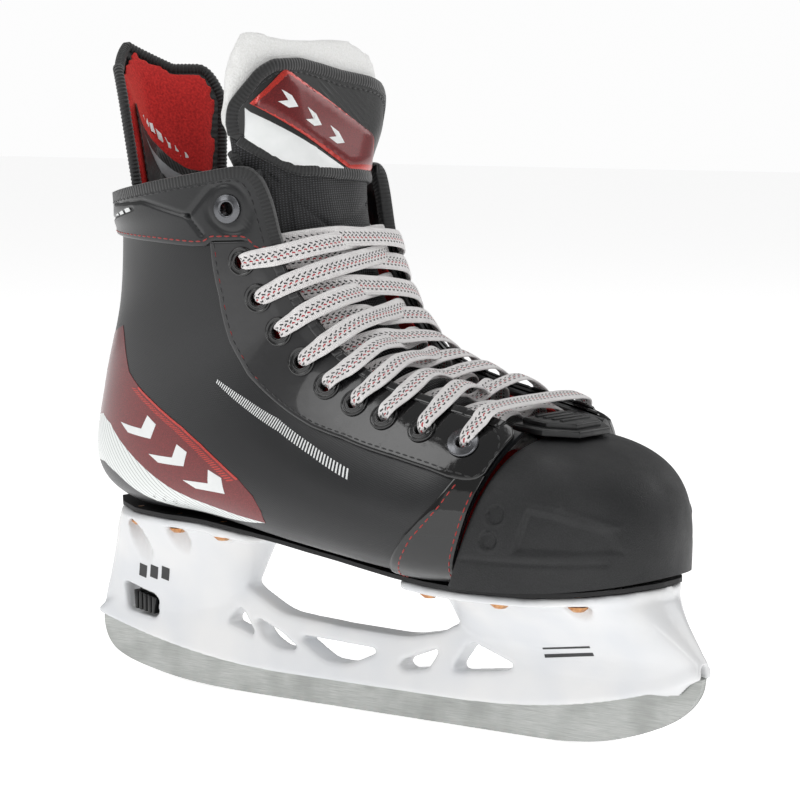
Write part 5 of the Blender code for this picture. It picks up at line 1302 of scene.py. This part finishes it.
def lace_knots(start_side):
    """Route of half the lace from the middle of the front bar: rows of (x, y, z, width direction, width,
    thickness, cupping)."""
    us = EYELETS[:LACED_ROWS]
    over = GAP + FACING_THICKNESS + 2.0
    knots = []

    def put(point, direction, width=7.6, thick=1.25, cup=0.0):
        direction = np.asarray(direction, float)
        knots.append((*point, *(direction / np.linalg.norm(direction)), width, thick, cup))

    def throat(side, u):
        return WALL[side](min(u + 0.2, 9.9), EYELET_INSET) - WALL[side](u, EYELET_INSET)

    side = start_side
    wall = WALL[side]
    put(wall(us[0], -1.0, over + 0.2), throat(side, us[0]))
    put(wall(us[0], 6.0, over + 0.1), throat(side, us[0]), 7.2)
    put(wall(us[0], EYELET_INSET - 3.2, over - 0.2), throat(side, us[0]), 6.0, 1.5, 0.5)
    put(wall(us[0], EYELET_INSET - 0.6, over - 1.8), throat(side, us[0]), 4.4, 1.9, 0.9)
    put(wall(us[0], EYELET_INSET, -LACE_UNDER + 1.8), throat(side, us[0]), 4.2, 1.9, 0.9)
    put(wall(us[0], EYELET_INSET - 2.0, -LACE_UNDER - 0.3), throat(side, us[0]), 5.0, 1.4)
    for i in range(1, LACED_ROWS + 1):
        last = i == LACED_ROWS
        gap = 0.55 if last else us[i] - us[i - 1]
        u_from, u_to = us[i - 1] + 0.12 * gap, us[i - 1] + 0.9 * gap
        on_top = (side == LATERAL) == (i % 2 == 0)
        height = LACE_LOW + (LACE_STEP if on_top else 0)
        low = i == 1
        lift = -LACE_UNDER if low else over
        if not low:
            put(WALL[side](us[i - 1] + 0.05 * gap, 7.0, over), throat(side, us[i - 1]), 7.0, 1.4, 0.2)
        start = WALL[side](u_from, 0.6, lift)
        finish = WALL[-side](u_to, 4.0, -LACE_UNDER)
        a, b = tongue_place(start), tongue_place(finish)
        off_a, off_b = start - tongue(*a), finish - tongue(*b)
        way = finish - start
        for t in (0, 0.16, 0.34, 0.5, 0.66, 0.84, 1):
            u, across, rise = (p + (q - p) * t for p, q in zip(a, b))
            hump = math.exp(-((t - 0.5) / 0.2) ** 2)
            rise = max(rise, 1.6) * (1 - hump) + max(height, 1.6) * hump
            point = tongue(u, across, rise) + off_a * (1 - t) + off_b * t
            normal = tongue(u, across, rise + 1) - tongue(u, across, rise)
            direction = np.cross(normal, way)
            if direction @ throat(side, us[i - 1]) < 0:
                direction = -direction
            put(point, direction, 7.9 - 0.5 * abs(math.sin(3.1 * i + 5 * t)))
        side = -side
        if not last:
            wall = WALL[side]
            put(wall(us[i], EYELET_INSET - 1.5, -LACE_UNDER - 0.2), throat(side, us[i]), 5.0, 1.4)
            put(wall(us[i], EYELET_INSET, -LACE_UNDER + 2.0), throat(side, us[i]), 4.2, 1.9, 0.9)
            put(wall(us[i], EYELET_INSET - 0.3, over - 1.7), throat(side, us[i]), 4.5, 1.9, 0.9)
            put(wall(us[i], EYELET_INSET - 2.6, over + 0.4), throat(side, us[i]), 6.2, 1.5, 0.5)
    u = us[-1] + 0.55
    put(WALL[side](u + 0.15, 7.5, -LACE_UNDER - 0.2), throat(side, u), 6.0)
    put(WALL[side](u + 0.5, 8.2, -LACE_UNDER - 0.2), throat(side, u), 5.0)
    return knots


def make_lace():
    """One flat woven lace, criss-crossed up the front, its ends tucked in beside the tongue."""
    halves = [lace_knots(side) for side in (LATERAL, MEDIAL)]
    middle = (np.array(halves[0][0]) + np.array(halves[1][0])) / 2
    middle[2] += 0.8
    middle[3:6] = halves[0][0][3:6]
    route = np.array(halves[0][::-1] + [tuple(middle)] + halves[1])
    path, places = curve_through(route, 0.8)
    angles = np.linspace(0, math.tau, 16, endpoint=False)
    c, s = np.cos(angles), np.sin(angles)
    section = np.stack([np.sign(c) * np.abs(c) ** 0.55 / 2, np.sign(s) * np.abs(s) ** 0.75 / 2], 1)
    width, thick, cup = path[:, 6:7], path[:, 7:8], path[:, 8:9]
    width = width * (1 + 0.03 * np.sin(places / 7.3))[:, None]
    x = section[None, :, 0] * width
    y = section[None, :, 1] * thick + cup * ((2 * section[None, :, 0]) ** 2 - 0.5) * 1.2
    tilt = 0.1 * np.sin(places / 23.0 + 1.0)[:, None]
    profile = np.stack([x * np.cos(tilt) - y * np.sin(tilt), x * np.sin(tilt) + y * np.cos(tilt)], -1)
    data = sweep("lace", path[:, :3], path[:, 3:6], profile, sharp=80)
    finished("woven_lace_tied", data, "woven_lace", "boot", ["lace"])


make_guard()
make_strap()
make_insides()
make_eyelets()
make_lace()

# ---------------------------------------------------------------- printed graphics

def bars(name, surface, top, low, count, fill, base, thickness, scale, cell=3.0):
    """A run of slanted bars between two polylines in surface coordinates."""
    top, low = np.array(top, float), np.array(low, float)

    def at(line, t):
        along = np.concatenate([[0], np.cumsum(np.linalg.norm(np.diff(line * scale, axis=0), axis=1))])
        return tuple(np.interp(t * along[-1], along, line[:, k]) for k in (0, 1))

    parts = []
    for k in range(count):
        t0, t1 = k / count, (k + fill) / count
        shape = [at(top, t0), at(top, t1), at(low, t1), at(low, t0)]
        parts.append(decal("bar", shape, surface, base, thickness, scale, cell, 0.0))
    return joined(name, parts)


def make_graphics():
    """Printed heel bands, hatching and plain bars, on both sides."""
    scale = (20.0, 1.0)
    for side, label in SIDES.items():
        wall = WALL[side]
        red_top = [(6.55, girth(6.55) + 0.3), (6.6, 110), (6.62, 91), (6.42, 90.2), (5.83, 90.8), (5.5, 87.2),
                   (5.17, 83.3), (4.75, 79.2), (4.33, 75.4), (3.8, 72.4), (3.3, 70.8), (2.88, 70.1), (2.58, 71.4),
                   (2.4, 74.8)]
        red_low = [(2.3, 79.4), (2.62, 86.6), (2.9, 92.0), (3.17, 96.6), (3.5, 100.4), (3.92, 103.8), (4.4, 107.6),
                   (4.83, 111.1), (5.25, 114.6), (5.5, 121), (5.6, 134), (5.62, girth(5.62) + 0.3)]
        white_low = [(5.15, girth(5.15) + 0.3), (5.0, 142), (4.8, 132), (4.45, 126), (4.08, 122.6), (3.62, 117.7),
                     (3.29, 112.5), (3.0, 104), (2.75, 96.5), (2.5, 87.5)]
        data = decal("red", red_top + red_low, wall, 0.02, 0.13, scale, 3.0, 0.0)
        finished(f"heel_band_{label}", data, "foil_red", "boot")
        data = decal("white", red_low + white_low, wall, 0.02, 0.13, scale, 3.0, 0.0)
        finished(f"heel_panel_{label}", data, "pinstriped_white", "boot")
        edge = np.array(red_top[5:12])
        line = [tuple(p) for p in edge] + [tuple(p + (0, 1.1)) for p in edge[::-1]]
        data = decal("line", line, wall, 0.1, 0.12, scale, 3.0, 0.0)
        hatch = bars("hatch", wall, edge + (0, 1.9), edge + (0.06, 4.6), 52, 0.5, 0.1, 0.12, scale)
        finished(f"heel_edge_{label}", joined("edge", [data, hatch]), "foil_bright_red", "boot")
        marks = []
        for u, w, tall in ((5.05, 97.5, 8.6), (4.2, 90.5, 8.0), (3.4, 84.5, 7.0)):
            forward, across = np.array((-0.028, -0.22)), np.array((0.012, 1.0))
            shape = [tuple(np.array((u, w)) + forward * a + across * b) for a, b in
                     ((0, -tall), (9, -tall), (19, 0), (9, tall), (0, tall), (9, 0))]
            marks.append(decal("mark", shape, wall, 0.12, 0.14, scale, 3.0, 0.0))
        finished(f"heel_chevrons_{label}", joined("marks", marks), "print_white", "boot")
        strip = bars("strip", wall, ((4.79, 48.8), (4.1, 43.2), (3.25, 37.9), (2.5, 37.3), (1.83, 38.2)),
                     ((4.74, 50.2), (3.95, 46.2), (3.04, 41.9), (2.4, 41.3), (1.76, 42.3)), 58, 0.42, 0.02, 0.12, scale)
        finished(f"side_hatching_{label}", strip, "print_white", "boot")
        for k in range(4):
            w = 88 - 6.5 * k
            tab = [(9.34, w), (9.34, w - 4.2), (9.1, w - 5.6), (9.1, w - 1.4)]
            data = decal("tab", tab, wall, GAP + COLLAR_THICKNESS - 0.1, 0.22, (11, 1), 3.0, 0.0)
            finished(f"collar_mark_{label}_{k + 1}", data, "print_white", "boot")


# ---------------------------------------------------------------- stitching

def stitch_tree():
    """Geometry Nodes: lays one stitch after another along every line of the mesh."""
    tree = bpy.data.node_groups.new("stitches", "GeometryNodeTree")
    sockets = {}
    for name, kind in (("Lines", "NodeSocketGeometry"), ("Pitch", "NodeSocketFloat"), ("Length", "NodeSocketFloat"),
                       ("Radius", "NodeSocketFloat"), ("Thread", "NodeSocketMaterial")):
        sockets[name] = tree.interface.new_socket(name=name, in_out="INPUT", socket_type=kind).identifier
    tree.interface.new_socket(name="Stitches", in_out="OUTPUT", socket_type="NodeSocketGeometry")
    given = add(tree, "NodeGroupInput").outputs
    curve = add(tree, "GeometryNodeMeshToCurve", {0: given["Lines"]}).outputs[0]
    points = add(tree, "GeometryNodeCurveToPoints", {0: curve, "Length": given["Pitch"]}, mode="LENGTH").outputs
    half = maths(tree, "MULTIPLY", given["Length"], 0.5)
    size = add(tree, "ShaderNodeCombineXYZ", {0: given["Radius"], 1: given["Radius"], 2: half}).outputs[0]
    ball = add(tree, "GeometryNodeMeshUVSphere", {"Segments": 8, "Rings": 7, "Radius": 1.0}).outputs[0]
    laid = add(tree, "GeometryNodeInstanceOnPoints",
               {"Points": points["Points"], "Instance": ball, "Rotation": points["Rotation"], "Scale": size}).outputs[0]
    real = add(tree, "GeometryNodeRealizeInstances", {0: laid}).outputs[0]
    smooth = add(tree, "GeometryNodeSetShadeSmooth", {0: real}).outputs[0]
    done = add(tree, "GeometryNodeSetMaterial", {0: smooth, "Material": given["Thread"]}).outputs[0]
    add(tree, "NodeGroupOutput", {0: done})
    return tree, sockets


STITCHES, STITCH_SOCKETS = stitch_tree()


def stitches(name, lines, finish, body, pitch=3.4, length=2.6, radius=0.33):
    """Stitches along polylines of points in millimetres."""
    verts, edges = [], []
    for line in lines:
        start = len(verts)
        verts += [tuple(np.asarray(p) * MM) for p in line]
        edges += [(i, i + 1) for i in range(start, len(verts) - 1)]
    data = bpy.data.meshes.new(name)
    data.from_pydata(verts, edges, [])
    obj = bpy.data.objects.new(name, data)
    bpy.context.scene.collection.objects.link(obj)
    modifier = obj.modifiers.new("stitches", "NODES")
    modifier.node_group = STITCHES
    values = {"Pitch": pitch * MM, "Length": length * MM, "Radius": radius * MM, "Thread": MATERIALS[finish]}
    for key, value in values.items():
        modifier[STITCH_SOCKETS[key]] = value
    obj.update_tag()
    bpy.context.view_layer.update()
    made = bpy.data.meshes.new_from_object(obj.evaluated_get(bpy.context.evaluated_depsgraph_get()))
    bpy.data.objects.remove(obj)
    finished(name, made, finish, body)


def make_stitching():
    """All the visible seams."""
    for side, label in SIDES.items():
        wall = WALL[side]
        us = np.linspace(0.55, 7.85, 240)
        top = GAP + FACING_THICKNESS
        seam = wall(us, facing_low(us) - 0.6, top - 0.1)
        front = [(0.55, facing_low(0.55) - 0.6), (0.3, 24.6), (0.14, 21.6), (0.09, 17), (0.12, 12.5), (0.26, 8.5),
                 (0.5, 5.6)]
        lobe_line, _ = curve_through([wall(u, w, top - 0.1) for u, w in front], 1.0)
        stitches(f"facing_stitches_{label}", [seam, lobe_line], "thread_black", "boot", 3.3, 2.7, 0.36)
        us = np.linspace(4.3, 7.6, 60)
        stitches(f"facing_tracer_{label}", [wall(us, facing_low(us) - 0.75, top - 0.05)], "thread_red", "boot",
                 9.9, 2.2, 0.24)
        ws = np.linspace(4, 118, 160)
        stitches(f"collar_seam_{label}", [wall(collar_edge(ws) + 0.15, ws, GAP + COLLAR_THICKNESS)], "thread_red",
                 "boot", 3.3, 2.4, 0.3)
        ws = np.linspace(16, 104, 100)
        rim = [(8.0, 3.9), (8.8, 4.1), (9.2, 4.6), (9.5, 6.2), (9.66, 9.0), (9.7, 14)] + [(9.7, w) for w in ws]
        line, _ = curve_through([wall(u, w, GAP + COLLAR_THICKNESS + 0.05) for u, w in rim[:7]], 1.0)
        stitches(f"collar_rim_stitches_{label}", [line, wall(np.full(100, 9.7), ws, GAP + COLLAR_THICKNESS + 0.05)],
                 "thread_black", "boot", 3.2, 2.5, 0.32)
        rear = table_of((0, 0.52), (27, 0.6), (38, 0.7), (53, 0.92), (64, 1.0), (74, 1.06), (110, 1.1))
        ws = np.linspace(30, 82, 90)
        lift = 0.15 + BAND_THICKNESS
        stitches(f"toe_band_stitches_{label}", [wall(rear(ws) - 0.11, ws, lift), wall(np.full(90, 0.12), ws, lift)],
                 "thread_red", "boot", 3.0, 2.2, 0.28)
    shares = np.linspace(-0.86, 0.86, 120)
    head = [(tongue_top(s) - 0.36, s) for s in shares] + [(u, 0.9) for u in np.linspace(10.6, 9.2, 20)]
    line = tongue(np.array([p[0] for p in head]), np.array([p[1] * float(tongue_half(p[0])) for p in head]), 1.05)
    low = [(head_low(s) + 0.24, s) for s in np.linspace(-0.9, 0.88, 120)]
    other = tongue(np.array([p[0] for p in low]), np.array([p[1] * float(tongue_half(p[0])) for p in low]), 1.05)
    stitches("tongue_head_stitches", [line, other], "thread_black", "boot", 3.2, 2.5, 0.34)
    heights = np.linspace(0.05, 0.93, 60)
    rim = [guard(heights, np.full(60, s), -0.1) for s in (-0.9, 0.9)]
    rim.append(guard(np.full(100, 0.945), np.linspace(-0.88, 0.88, 100), -0.1))
    stitches("guard_stitches", rim, "thread_black", "guard", 3.2, 2.5, 0.32)


# ---------------------------------------------------------------- holder and runner

SOLE_PLAN = np.array((
    (-127.5, 0.0), (-125, 9), (-118, 16.5), (-106, 22.5), (-88, 26), (-60, 27), (-30, 27), (0, 30),
    (30, 35), (62, 39), (90, 37), (108, 30), (120, 20.5), (126.5, 10), (129, 0.0),
))
SOLE_XS = (
    -127.0, -125, -118, -106, -88, -76, -68, -60, -50, -40, -30, -15, 0,
    15, 30, 45, 62, 76, 90, 99, 108, 114, 120, 124, 126.5, 128.3,
)
SOLE_HEEL = ((-127.5, 75.0), (-122, 73.6))
SOLE_TOE = ((90, 60.0), (108, 61.2), (120, 62.6), (126.5, 63.6), (129, 64.0))
OUTSOLE_THICKNESS = 1.6
FLANGE_THICKNESS = 3.2
HOLDER_REAR, HOLDER_FRONT = -142.0, 142.0
BEAM_HALF_WIDTH = 5.0
RUNNER_HIDDEN = 5.0
BRIDGE_TOP = ((37, 38.5), (31, 35), (13.5, 31.4), (-20, 32.3), (-45.5, 33.8), (-62, 42), (-66, 46))
REAR_TOWER = (
    (25, -141.8, -84, 4.6, 3.2), (33, -139.6, -70, 6.0, 3.0), (43, -135.8, -62.5, 9.5, 2.8),
    (53, -132.0, -58.5, 14.5, 2.6), (61, -128.8, -55.5, 19.5, 2.5), (71, -124.0, -50.5, 24.3, 2.5),
)
FRONT_TOWER = (
    (22, 62, 134, 4.6, 3.2), (32.5, 45, 142.2, 6.6, 3.0), (38, 38.5, 139.3, 10.5, 2.8),
    (46, 35.0, 133.0, 17.0, 2.6), (52, 33.0, 128.5, 24.0, 2.5), (59, 31.0, 124.5, 32.5, 2.4),
)
WINDOWS = (
    ((-74.2, 27.6), (-66.5, 34.8), (-58.5, 23.0)),
    ((-60.4, 31.4), (-46.4, 26.3), (-36.5, 19.9), (-47.9, 19.8), (-54.4, 23.0), (-57.9, 27.4)),
    ((-39.5, 26.3), (3.1, 24.9), (-9.3, 19.2), (-15.0, 17.4), (-24.7, 17.8)),
    ((11.6, 22.0), (30.2, 29.1), (24.2, 20.1), (13.5, 18.4), (10.7, 19.6)),
    ((35.3, 22.1), (43.4, 32.9), (65.0, 25.7), (57.0, 23.2), (37.1, 20.5)),
)
TRIGGER_WINDOW = ((-126, 39.5), (-108.2, 34.2), (-109.8, 25.0), (-126, 27.2))
TRIGGER_CHANNEL = ((-124.5, 27.5), (-124.5, 55), (-101.5, 55), (-97.5, 42), (-100.2, 28), (-107, 25.0))
RIVET_XS = (-108.0, -85.0, -62.0, 42.0, 74.0, 104.0)
RIVET_SHARE = 0.76
POCKET_RADIUS = 4.8


def underside():
    """Height of the boot's sole at each of SOLE_XS."""
    feet = [tuple(between(STATIONS, u)[2:4]) for u in np.linspace(4, 0, 33)]
    line = np.array(list(SOLE_HEEL) + feet + list(SOLE_TOE))
    return np.interp(SOLE_XS, line[:, 0], line[:, 1])


UNDERSIDE = underside()


def sole_height(x):
    """Height of the boot's underside at x."""
    return np.interp(x, SOLE_XS, UNDERSIDE)


def sole_half(x):
    """Half width of the sole, read in straight lines between the plan's points."""
    return np.interp(x, SOLE_PLAN[:, 0], SOLE_PLAN[:, 1])


def flange_top(x):
    """Height of the holder's top face at x."""
    return sole_height(x) - 2 * GAP - OUTSOLE_THICKNESS


def steel_line(x):
    """Height of the holder's lower edge, where the steel comes out."""
    return 10 + 14.5 * (np.maximum(-45 - x, 0) / 98) ** 2 + 20.0 * (np.maximum(x - 30, 0) / 113) ** 2.3


def rounded_loop(points, cut, steps=6):
    """A closed outline with its corners cut back and rounded."""
    points = np.array(points, float)
    loop = []
    for i, p in enumerate(points):
        a, b = points[i - 1] - p, points[(i + 1) % len(points)] - p
        la, lb = np.linalg.norm(a), np.linalg.norm(b)
        reach = min(cut, la * 0.45, lb * 0.45)
        start, end = p + a / la * reach, p + b / lb * reach
        for t in np.linspace(0, 1, steps):
            loop.append(tuple((1 - t) ** 2 * start + 2 * t * (1 - t) * p + t * t * end))
    return loop


def across_plate(name, loop, half):
    """An outline in the XZ plane as a plate across Y."""
    loop = np.array(loop)
    ring = [np.stack([loop[:, 0], np.full(len(loop), y), loop[:, 1]], 1) for y in (-half, half)]
    k = len(loop)
    faces = [tuple(range(k)), tuple(range(k, 2 * k))[::-1]] + grid_faces(2, k, closed=True)
    return mesh_of(name, np.concatenate(ring), faces)


def tower(levels):
    """A holder tower: a rounded loft from the beam up to the flange."""
    levels = np.array(levels)
    rings = []
    for t in np.linspace(0, len(levels) - 1, 30):
        z, x0, x1, half, square = between(levels, t)
        angles = np.linspace(0, math.tau, 96, endpoint=False)
        x = (x0 + x1) / 2 + (x1 - x0) / 2 * np.sign(np.cos(angles)) * np.abs(np.cos(angles)) ** (2 / square)
        y = half * np.sign(np.sin(angles)) * np.abs(np.sin(angles)) ** (2 / square)
        top = flange_top(x) - FLANGE_THICKNESS / 2
        share = max((z - levels[-2][0]) / (levels[-1][0] - levels[-2][0]), 0)
        height = z + (top - levels[-1][0]) * share
        rings.append(np.stack([x, y, height], 1))
    faces = grid_faces(len(rings), 96, closed=True) + [tuple(range(96)), tuple(range(29 * 96, 30 * 96))[::-1]]
    return mesh_of("tower", np.concatenate(rings), faces)


def flange(x0, x1):
    """The holder's flat flange under the sole, from x0 to x1."""
    xs = np.concatenate([x0 + np.array((0, 0.5, 1.2, 2.2, 3.5)), np.arange(x0 + 5, x1 - 5, 2.5),
                         x1 - np.array((3.5, 2.2, 1.2, 0.5, 0))])
    ends = np.minimum(xs - x0, x1 - xs)
    halves = np.maximum(sole_half(xs) - 1.2 - np.maximum(5 - ends, 0) ** 2 / 4, 3)
    t = np.linspace(-1, 1, 13)
    top = np.stack([np.repeat(xs[:, None], 13, 1), halves[:, None] * t, np.repeat(flange_top(xs)[:, None], 13, 1)], -1)
    return grid_solid("flange", top, top - (0, 0, FLANGE_THICKNESS), top[..., :2])


def cut_or_join(data, other, operation):
    """One Boolean between two meshes."""
    tool = bpy.data.objects.new("tool", other)
    bpy.context.scene.collection.objects.link(tool)
    made = shaped(data, [("BOOLEAN", {"object": tool, "operation": operation, "solver": "EXACT"})])
    bpy.data.objects.remove(tool)
    return made


def make_holder():
    """The moulded holder: beam, towers and flanges with windows, slot and rivet bays, softly rounded."""
    xs = np.linspace(HOLDER_REAR, HOLDER_FRONT, 90)
    beam = [(x, steel_line(x)) for x in xs] + [(HOLDER_FRONT - 0.4, 33), (128, 36), (60, 38.5)]
    beam += rounded_loop(BRIDGE_TOP, 6.0)[3:-3] + [(-100, 40), (-128, 33), (HOLDER_REAR + 0.5, 26.5)]
    data = across_plate("holder", beam, BEAM_HALF_WIDTH)
    data = joined("holder", [data, tower(REAR_TOWER), tower(FRONT_TOWER), flange(-124.5, -44.0),
                             flange(29.5, 127.0)])
    data = shaped(data, [("REMESH", {"mode": "VOXEL", "voxel_size": 0.9 * MM})])
    xs = np.linspace(HOLDER_REAR - 5, HOLDER_FRONT + 5, 60)
    slot = [(x, steel_line(x) - 6) for x in xs] + [(x, steel_line(x) + RUNNER_HIDDEN + GAP) for x in xs[::-1]]
    cuts = [joined("windows", [across_plate("window", rounded_loop(window, 2.6), 30) for window in WINDOWS])]
    cuts.append(across_plate("slot", slot, 1.85))
    cuts.append(across_plate("trigger_window", rounded_loop(TRIGGER_WINDOW, 2.5), 40))
    cuts.append(across_plate("channel", TRIGGER_CHANNEL, 3.4))
    for x0, x1, top in ((-102.4, -88.2, 37.0), (90.8, 104.6, 39.0)):
        base = float(steel_line((x0 + x1) / 2)) + 2.2
        cuts.append(across_plate("post", [(x0, base), (x1, base), (x1, top), (x0, top)], 2.1))
    bays, holes = [], []
    for x in RIVET_XS:
        for side in (LATERAL, MEDIAL):
            place = (x, side * RIVET_SHARE * float(sole_half(x)), float(flange_top(x)) - FLANGE_THICKNESS)
            bay = [(0.01, -30), (POCKET_RADIUS, -30), (POCKET_RADIUS, 0), (0.01, 0)]
            hole = [(0.01, -6), (2.1, -6), (2.1, 12), (0.01, 12)]
            bays.append(turned("bay", bay, place, Z_AXIS, 24))
            holes.append(turned("hole", hole, place, Z_AXIS, 12))
    for cut in cuts + [joined("bays", bays), joined("holes", holes)]:
        data = cut_or_join(data, cut, "DIFFERENCE")
    data = shaped(data, [("REMESH", {"mode": "VOXEL", "voxel_size": 0.85 * MM}),
                         ("SMOOTH", {"factor": 0.5, "iterations": 7})])
    finished("blade_holder", smoothed(data, 80), "white_nylon", "boot", ["holder"])
    return data


RUNNER_BOTTOM = (
    (-141, 23.5), (-140.6, 18.5), (-138.2, 13), (-133, 8.8), (-122, 5.2), (-102, 1.8), (-82, 0.4), (-60, 0.05),
    (-20, 0.05), (30, 0.05), (72, 0.05), (88, 0.8), (102, 2.9), (117, 7.4), (128, 12.4), (135.5, 18), (139.8, 24),
    (141, 29.4),
)


def make_runner():
    """The ground steel, with its two posts."""
    bottom, _ = curve_through([(x, 0, z) for x, z in RUNNER_BOTTOM], 1.2)
    low = [(p[0], max(p[2], 0.03)) for p in bottom]
    top = [(x, float(steel_line(x)) + RUNNER_HIDDEN) for x in np.linspace(131, -131, 80)]
    posts = [(92.0, 103.0, 38.0), (-101.0, -90.0, 36.0)]
    outline, waiting = list(low), list(posts)
    for x, z in top:
        if waiting and x < waiting[0][1] + 1.5:
            x0, x1, height = waiting.pop(0)
            outline += [(x1, float(steel_line(x1)) + RUNNER_HIDDEN), (x1, height), (x0, height),
                        (x0, float(steel_line(x0)) + RUNNER_HIDDEN)]
        if not any(x0 - 1.5 < x < x1 + 1.5 for x0, x1, _ in posts):
            outline.append((x, z))
    data = across_plate("runner", outline, 1.5)
    data = shaped(data, [("BEVEL", {"width": 0.3 * MM, "segments": 2, "limit_method": "ANGLE",
                                    "angle_limit": math.radians(60)})])
    finished("steel_runner", smoothed(data, 30), "ground_steel", "runner", ["runner"])


def make_trigger():
    """The release trigger, with softened edges."""
    data = frame["nodes"]["release_trigger"].data.copy()
    data = shaped(data, [("WELD", {"merge_threshold": 1e-6}),
                         ("BEVEL", {"width": 0.22 * MM, "segments": 2, "limit_method": "ANGLE",
                                    "angle_limit": math.radians(30)})])
    finished("trigger_lever", smoothed(data), "moulded_black", "trigger", ["release_trigger"])


def make_sole():
    """The thin sole board between boot and holder."""
    xs = np.concatenate([np.linspace(-124.6, -118, 6), np.arange(-115, 118, 4.0), np.linspace(120, 127.4, 7)])
    halves = np.maximum(sole_half(xs) - 1.2, 3)
    t = np.linspace(-1, 1, 15)
    z = sole_height(xs) - GAP
    top = np.stack([np.repeat(xs[:, None], 15, 1), halves[:, None] * t, np.repeat(z[:, None], 15, 1)], -1)
    data = grid_solid("sole", top, top - (0, 0, OUTSOLE_THICKNESS), top[..., :2])
    finished("sole_plate", data, "sole_board", "boot", ["outsole"])


def make_holder_marks(data):
    """Plain printed bars on the towers, where such holders carry a mark."""
    bm = bmesh.new()
    bm.from_mesh(data)
    tree = BVHTree.FromBMesh(bm)
    bm.free()
    for side, label in SIDES.items():
        def face(x, z, lift):
            x, z, lift = np.broadcast_arrays(*(np.asarray(v, float) for v in (x, z, lift)))
            points = []
            for px, pz, up in zip(x.ravel(), z.ravel(), lift.ravel()):
                hit, normal, _, _ = tree.ray_cast(Vector((px, side * 80, pz)) * MM, Vector((0, -side, 0)))
                if hit is None:
                    hit, normal, _, _ = tree.find_nearest(Vector((px, side * 20, pz)) * MM)
                points.append(np.array(hit + normal * up * MM) / MM)
            return np.array(points)

        parts = [decal("rear", ((x, 42.5), (x + 3.6, 41.6), (x + 6.2, 47.0), (x + 2.6, 47.9)), face, -0.05, 0.2,
                       (1, 1), 1.5, 0.0) for x in (-115.5, -109.5, -103.5)]
        parts.append(decal("low line", ((78, 30.9), (100, 34.3), (100, 35.6), (78, 32.2)), face, -0.05, 0.2,
                           (1, 1), 1.5, 0.0))
        parts.append(decal("high line", ((78, 34.2), (100, 37.6), (100, 38.3), (78, 34.8)), face, -0.05, 0.2,
                           (1, 1), 1.5, 0.0))
        finished(f"holder_print_{label}", joined("print", parts), "print_dark", "boot")


make_graphics()
make_stitching()
holder_mesh = make_holder()
make_holder_marks(holder_mesh)
make_runner()
make_trigger()
make_sole()

# ---------------------------------------------------------------- CAD nodes that show as they are

CAD_FINISHES = {"rivet": "copper", "trigger_pin": "drawn_steel", "trigger_spring": "drawn_steel",
                "lace_tip": "moulded_black", "footbed": "red_lining"}
for name, node in frame["nodes"].items():
    for start, finish in CAD_FINISHES.items():
        if start in name:
            node.data.materials.clear()
            node.data.materials.append(MATERIALS[finish])
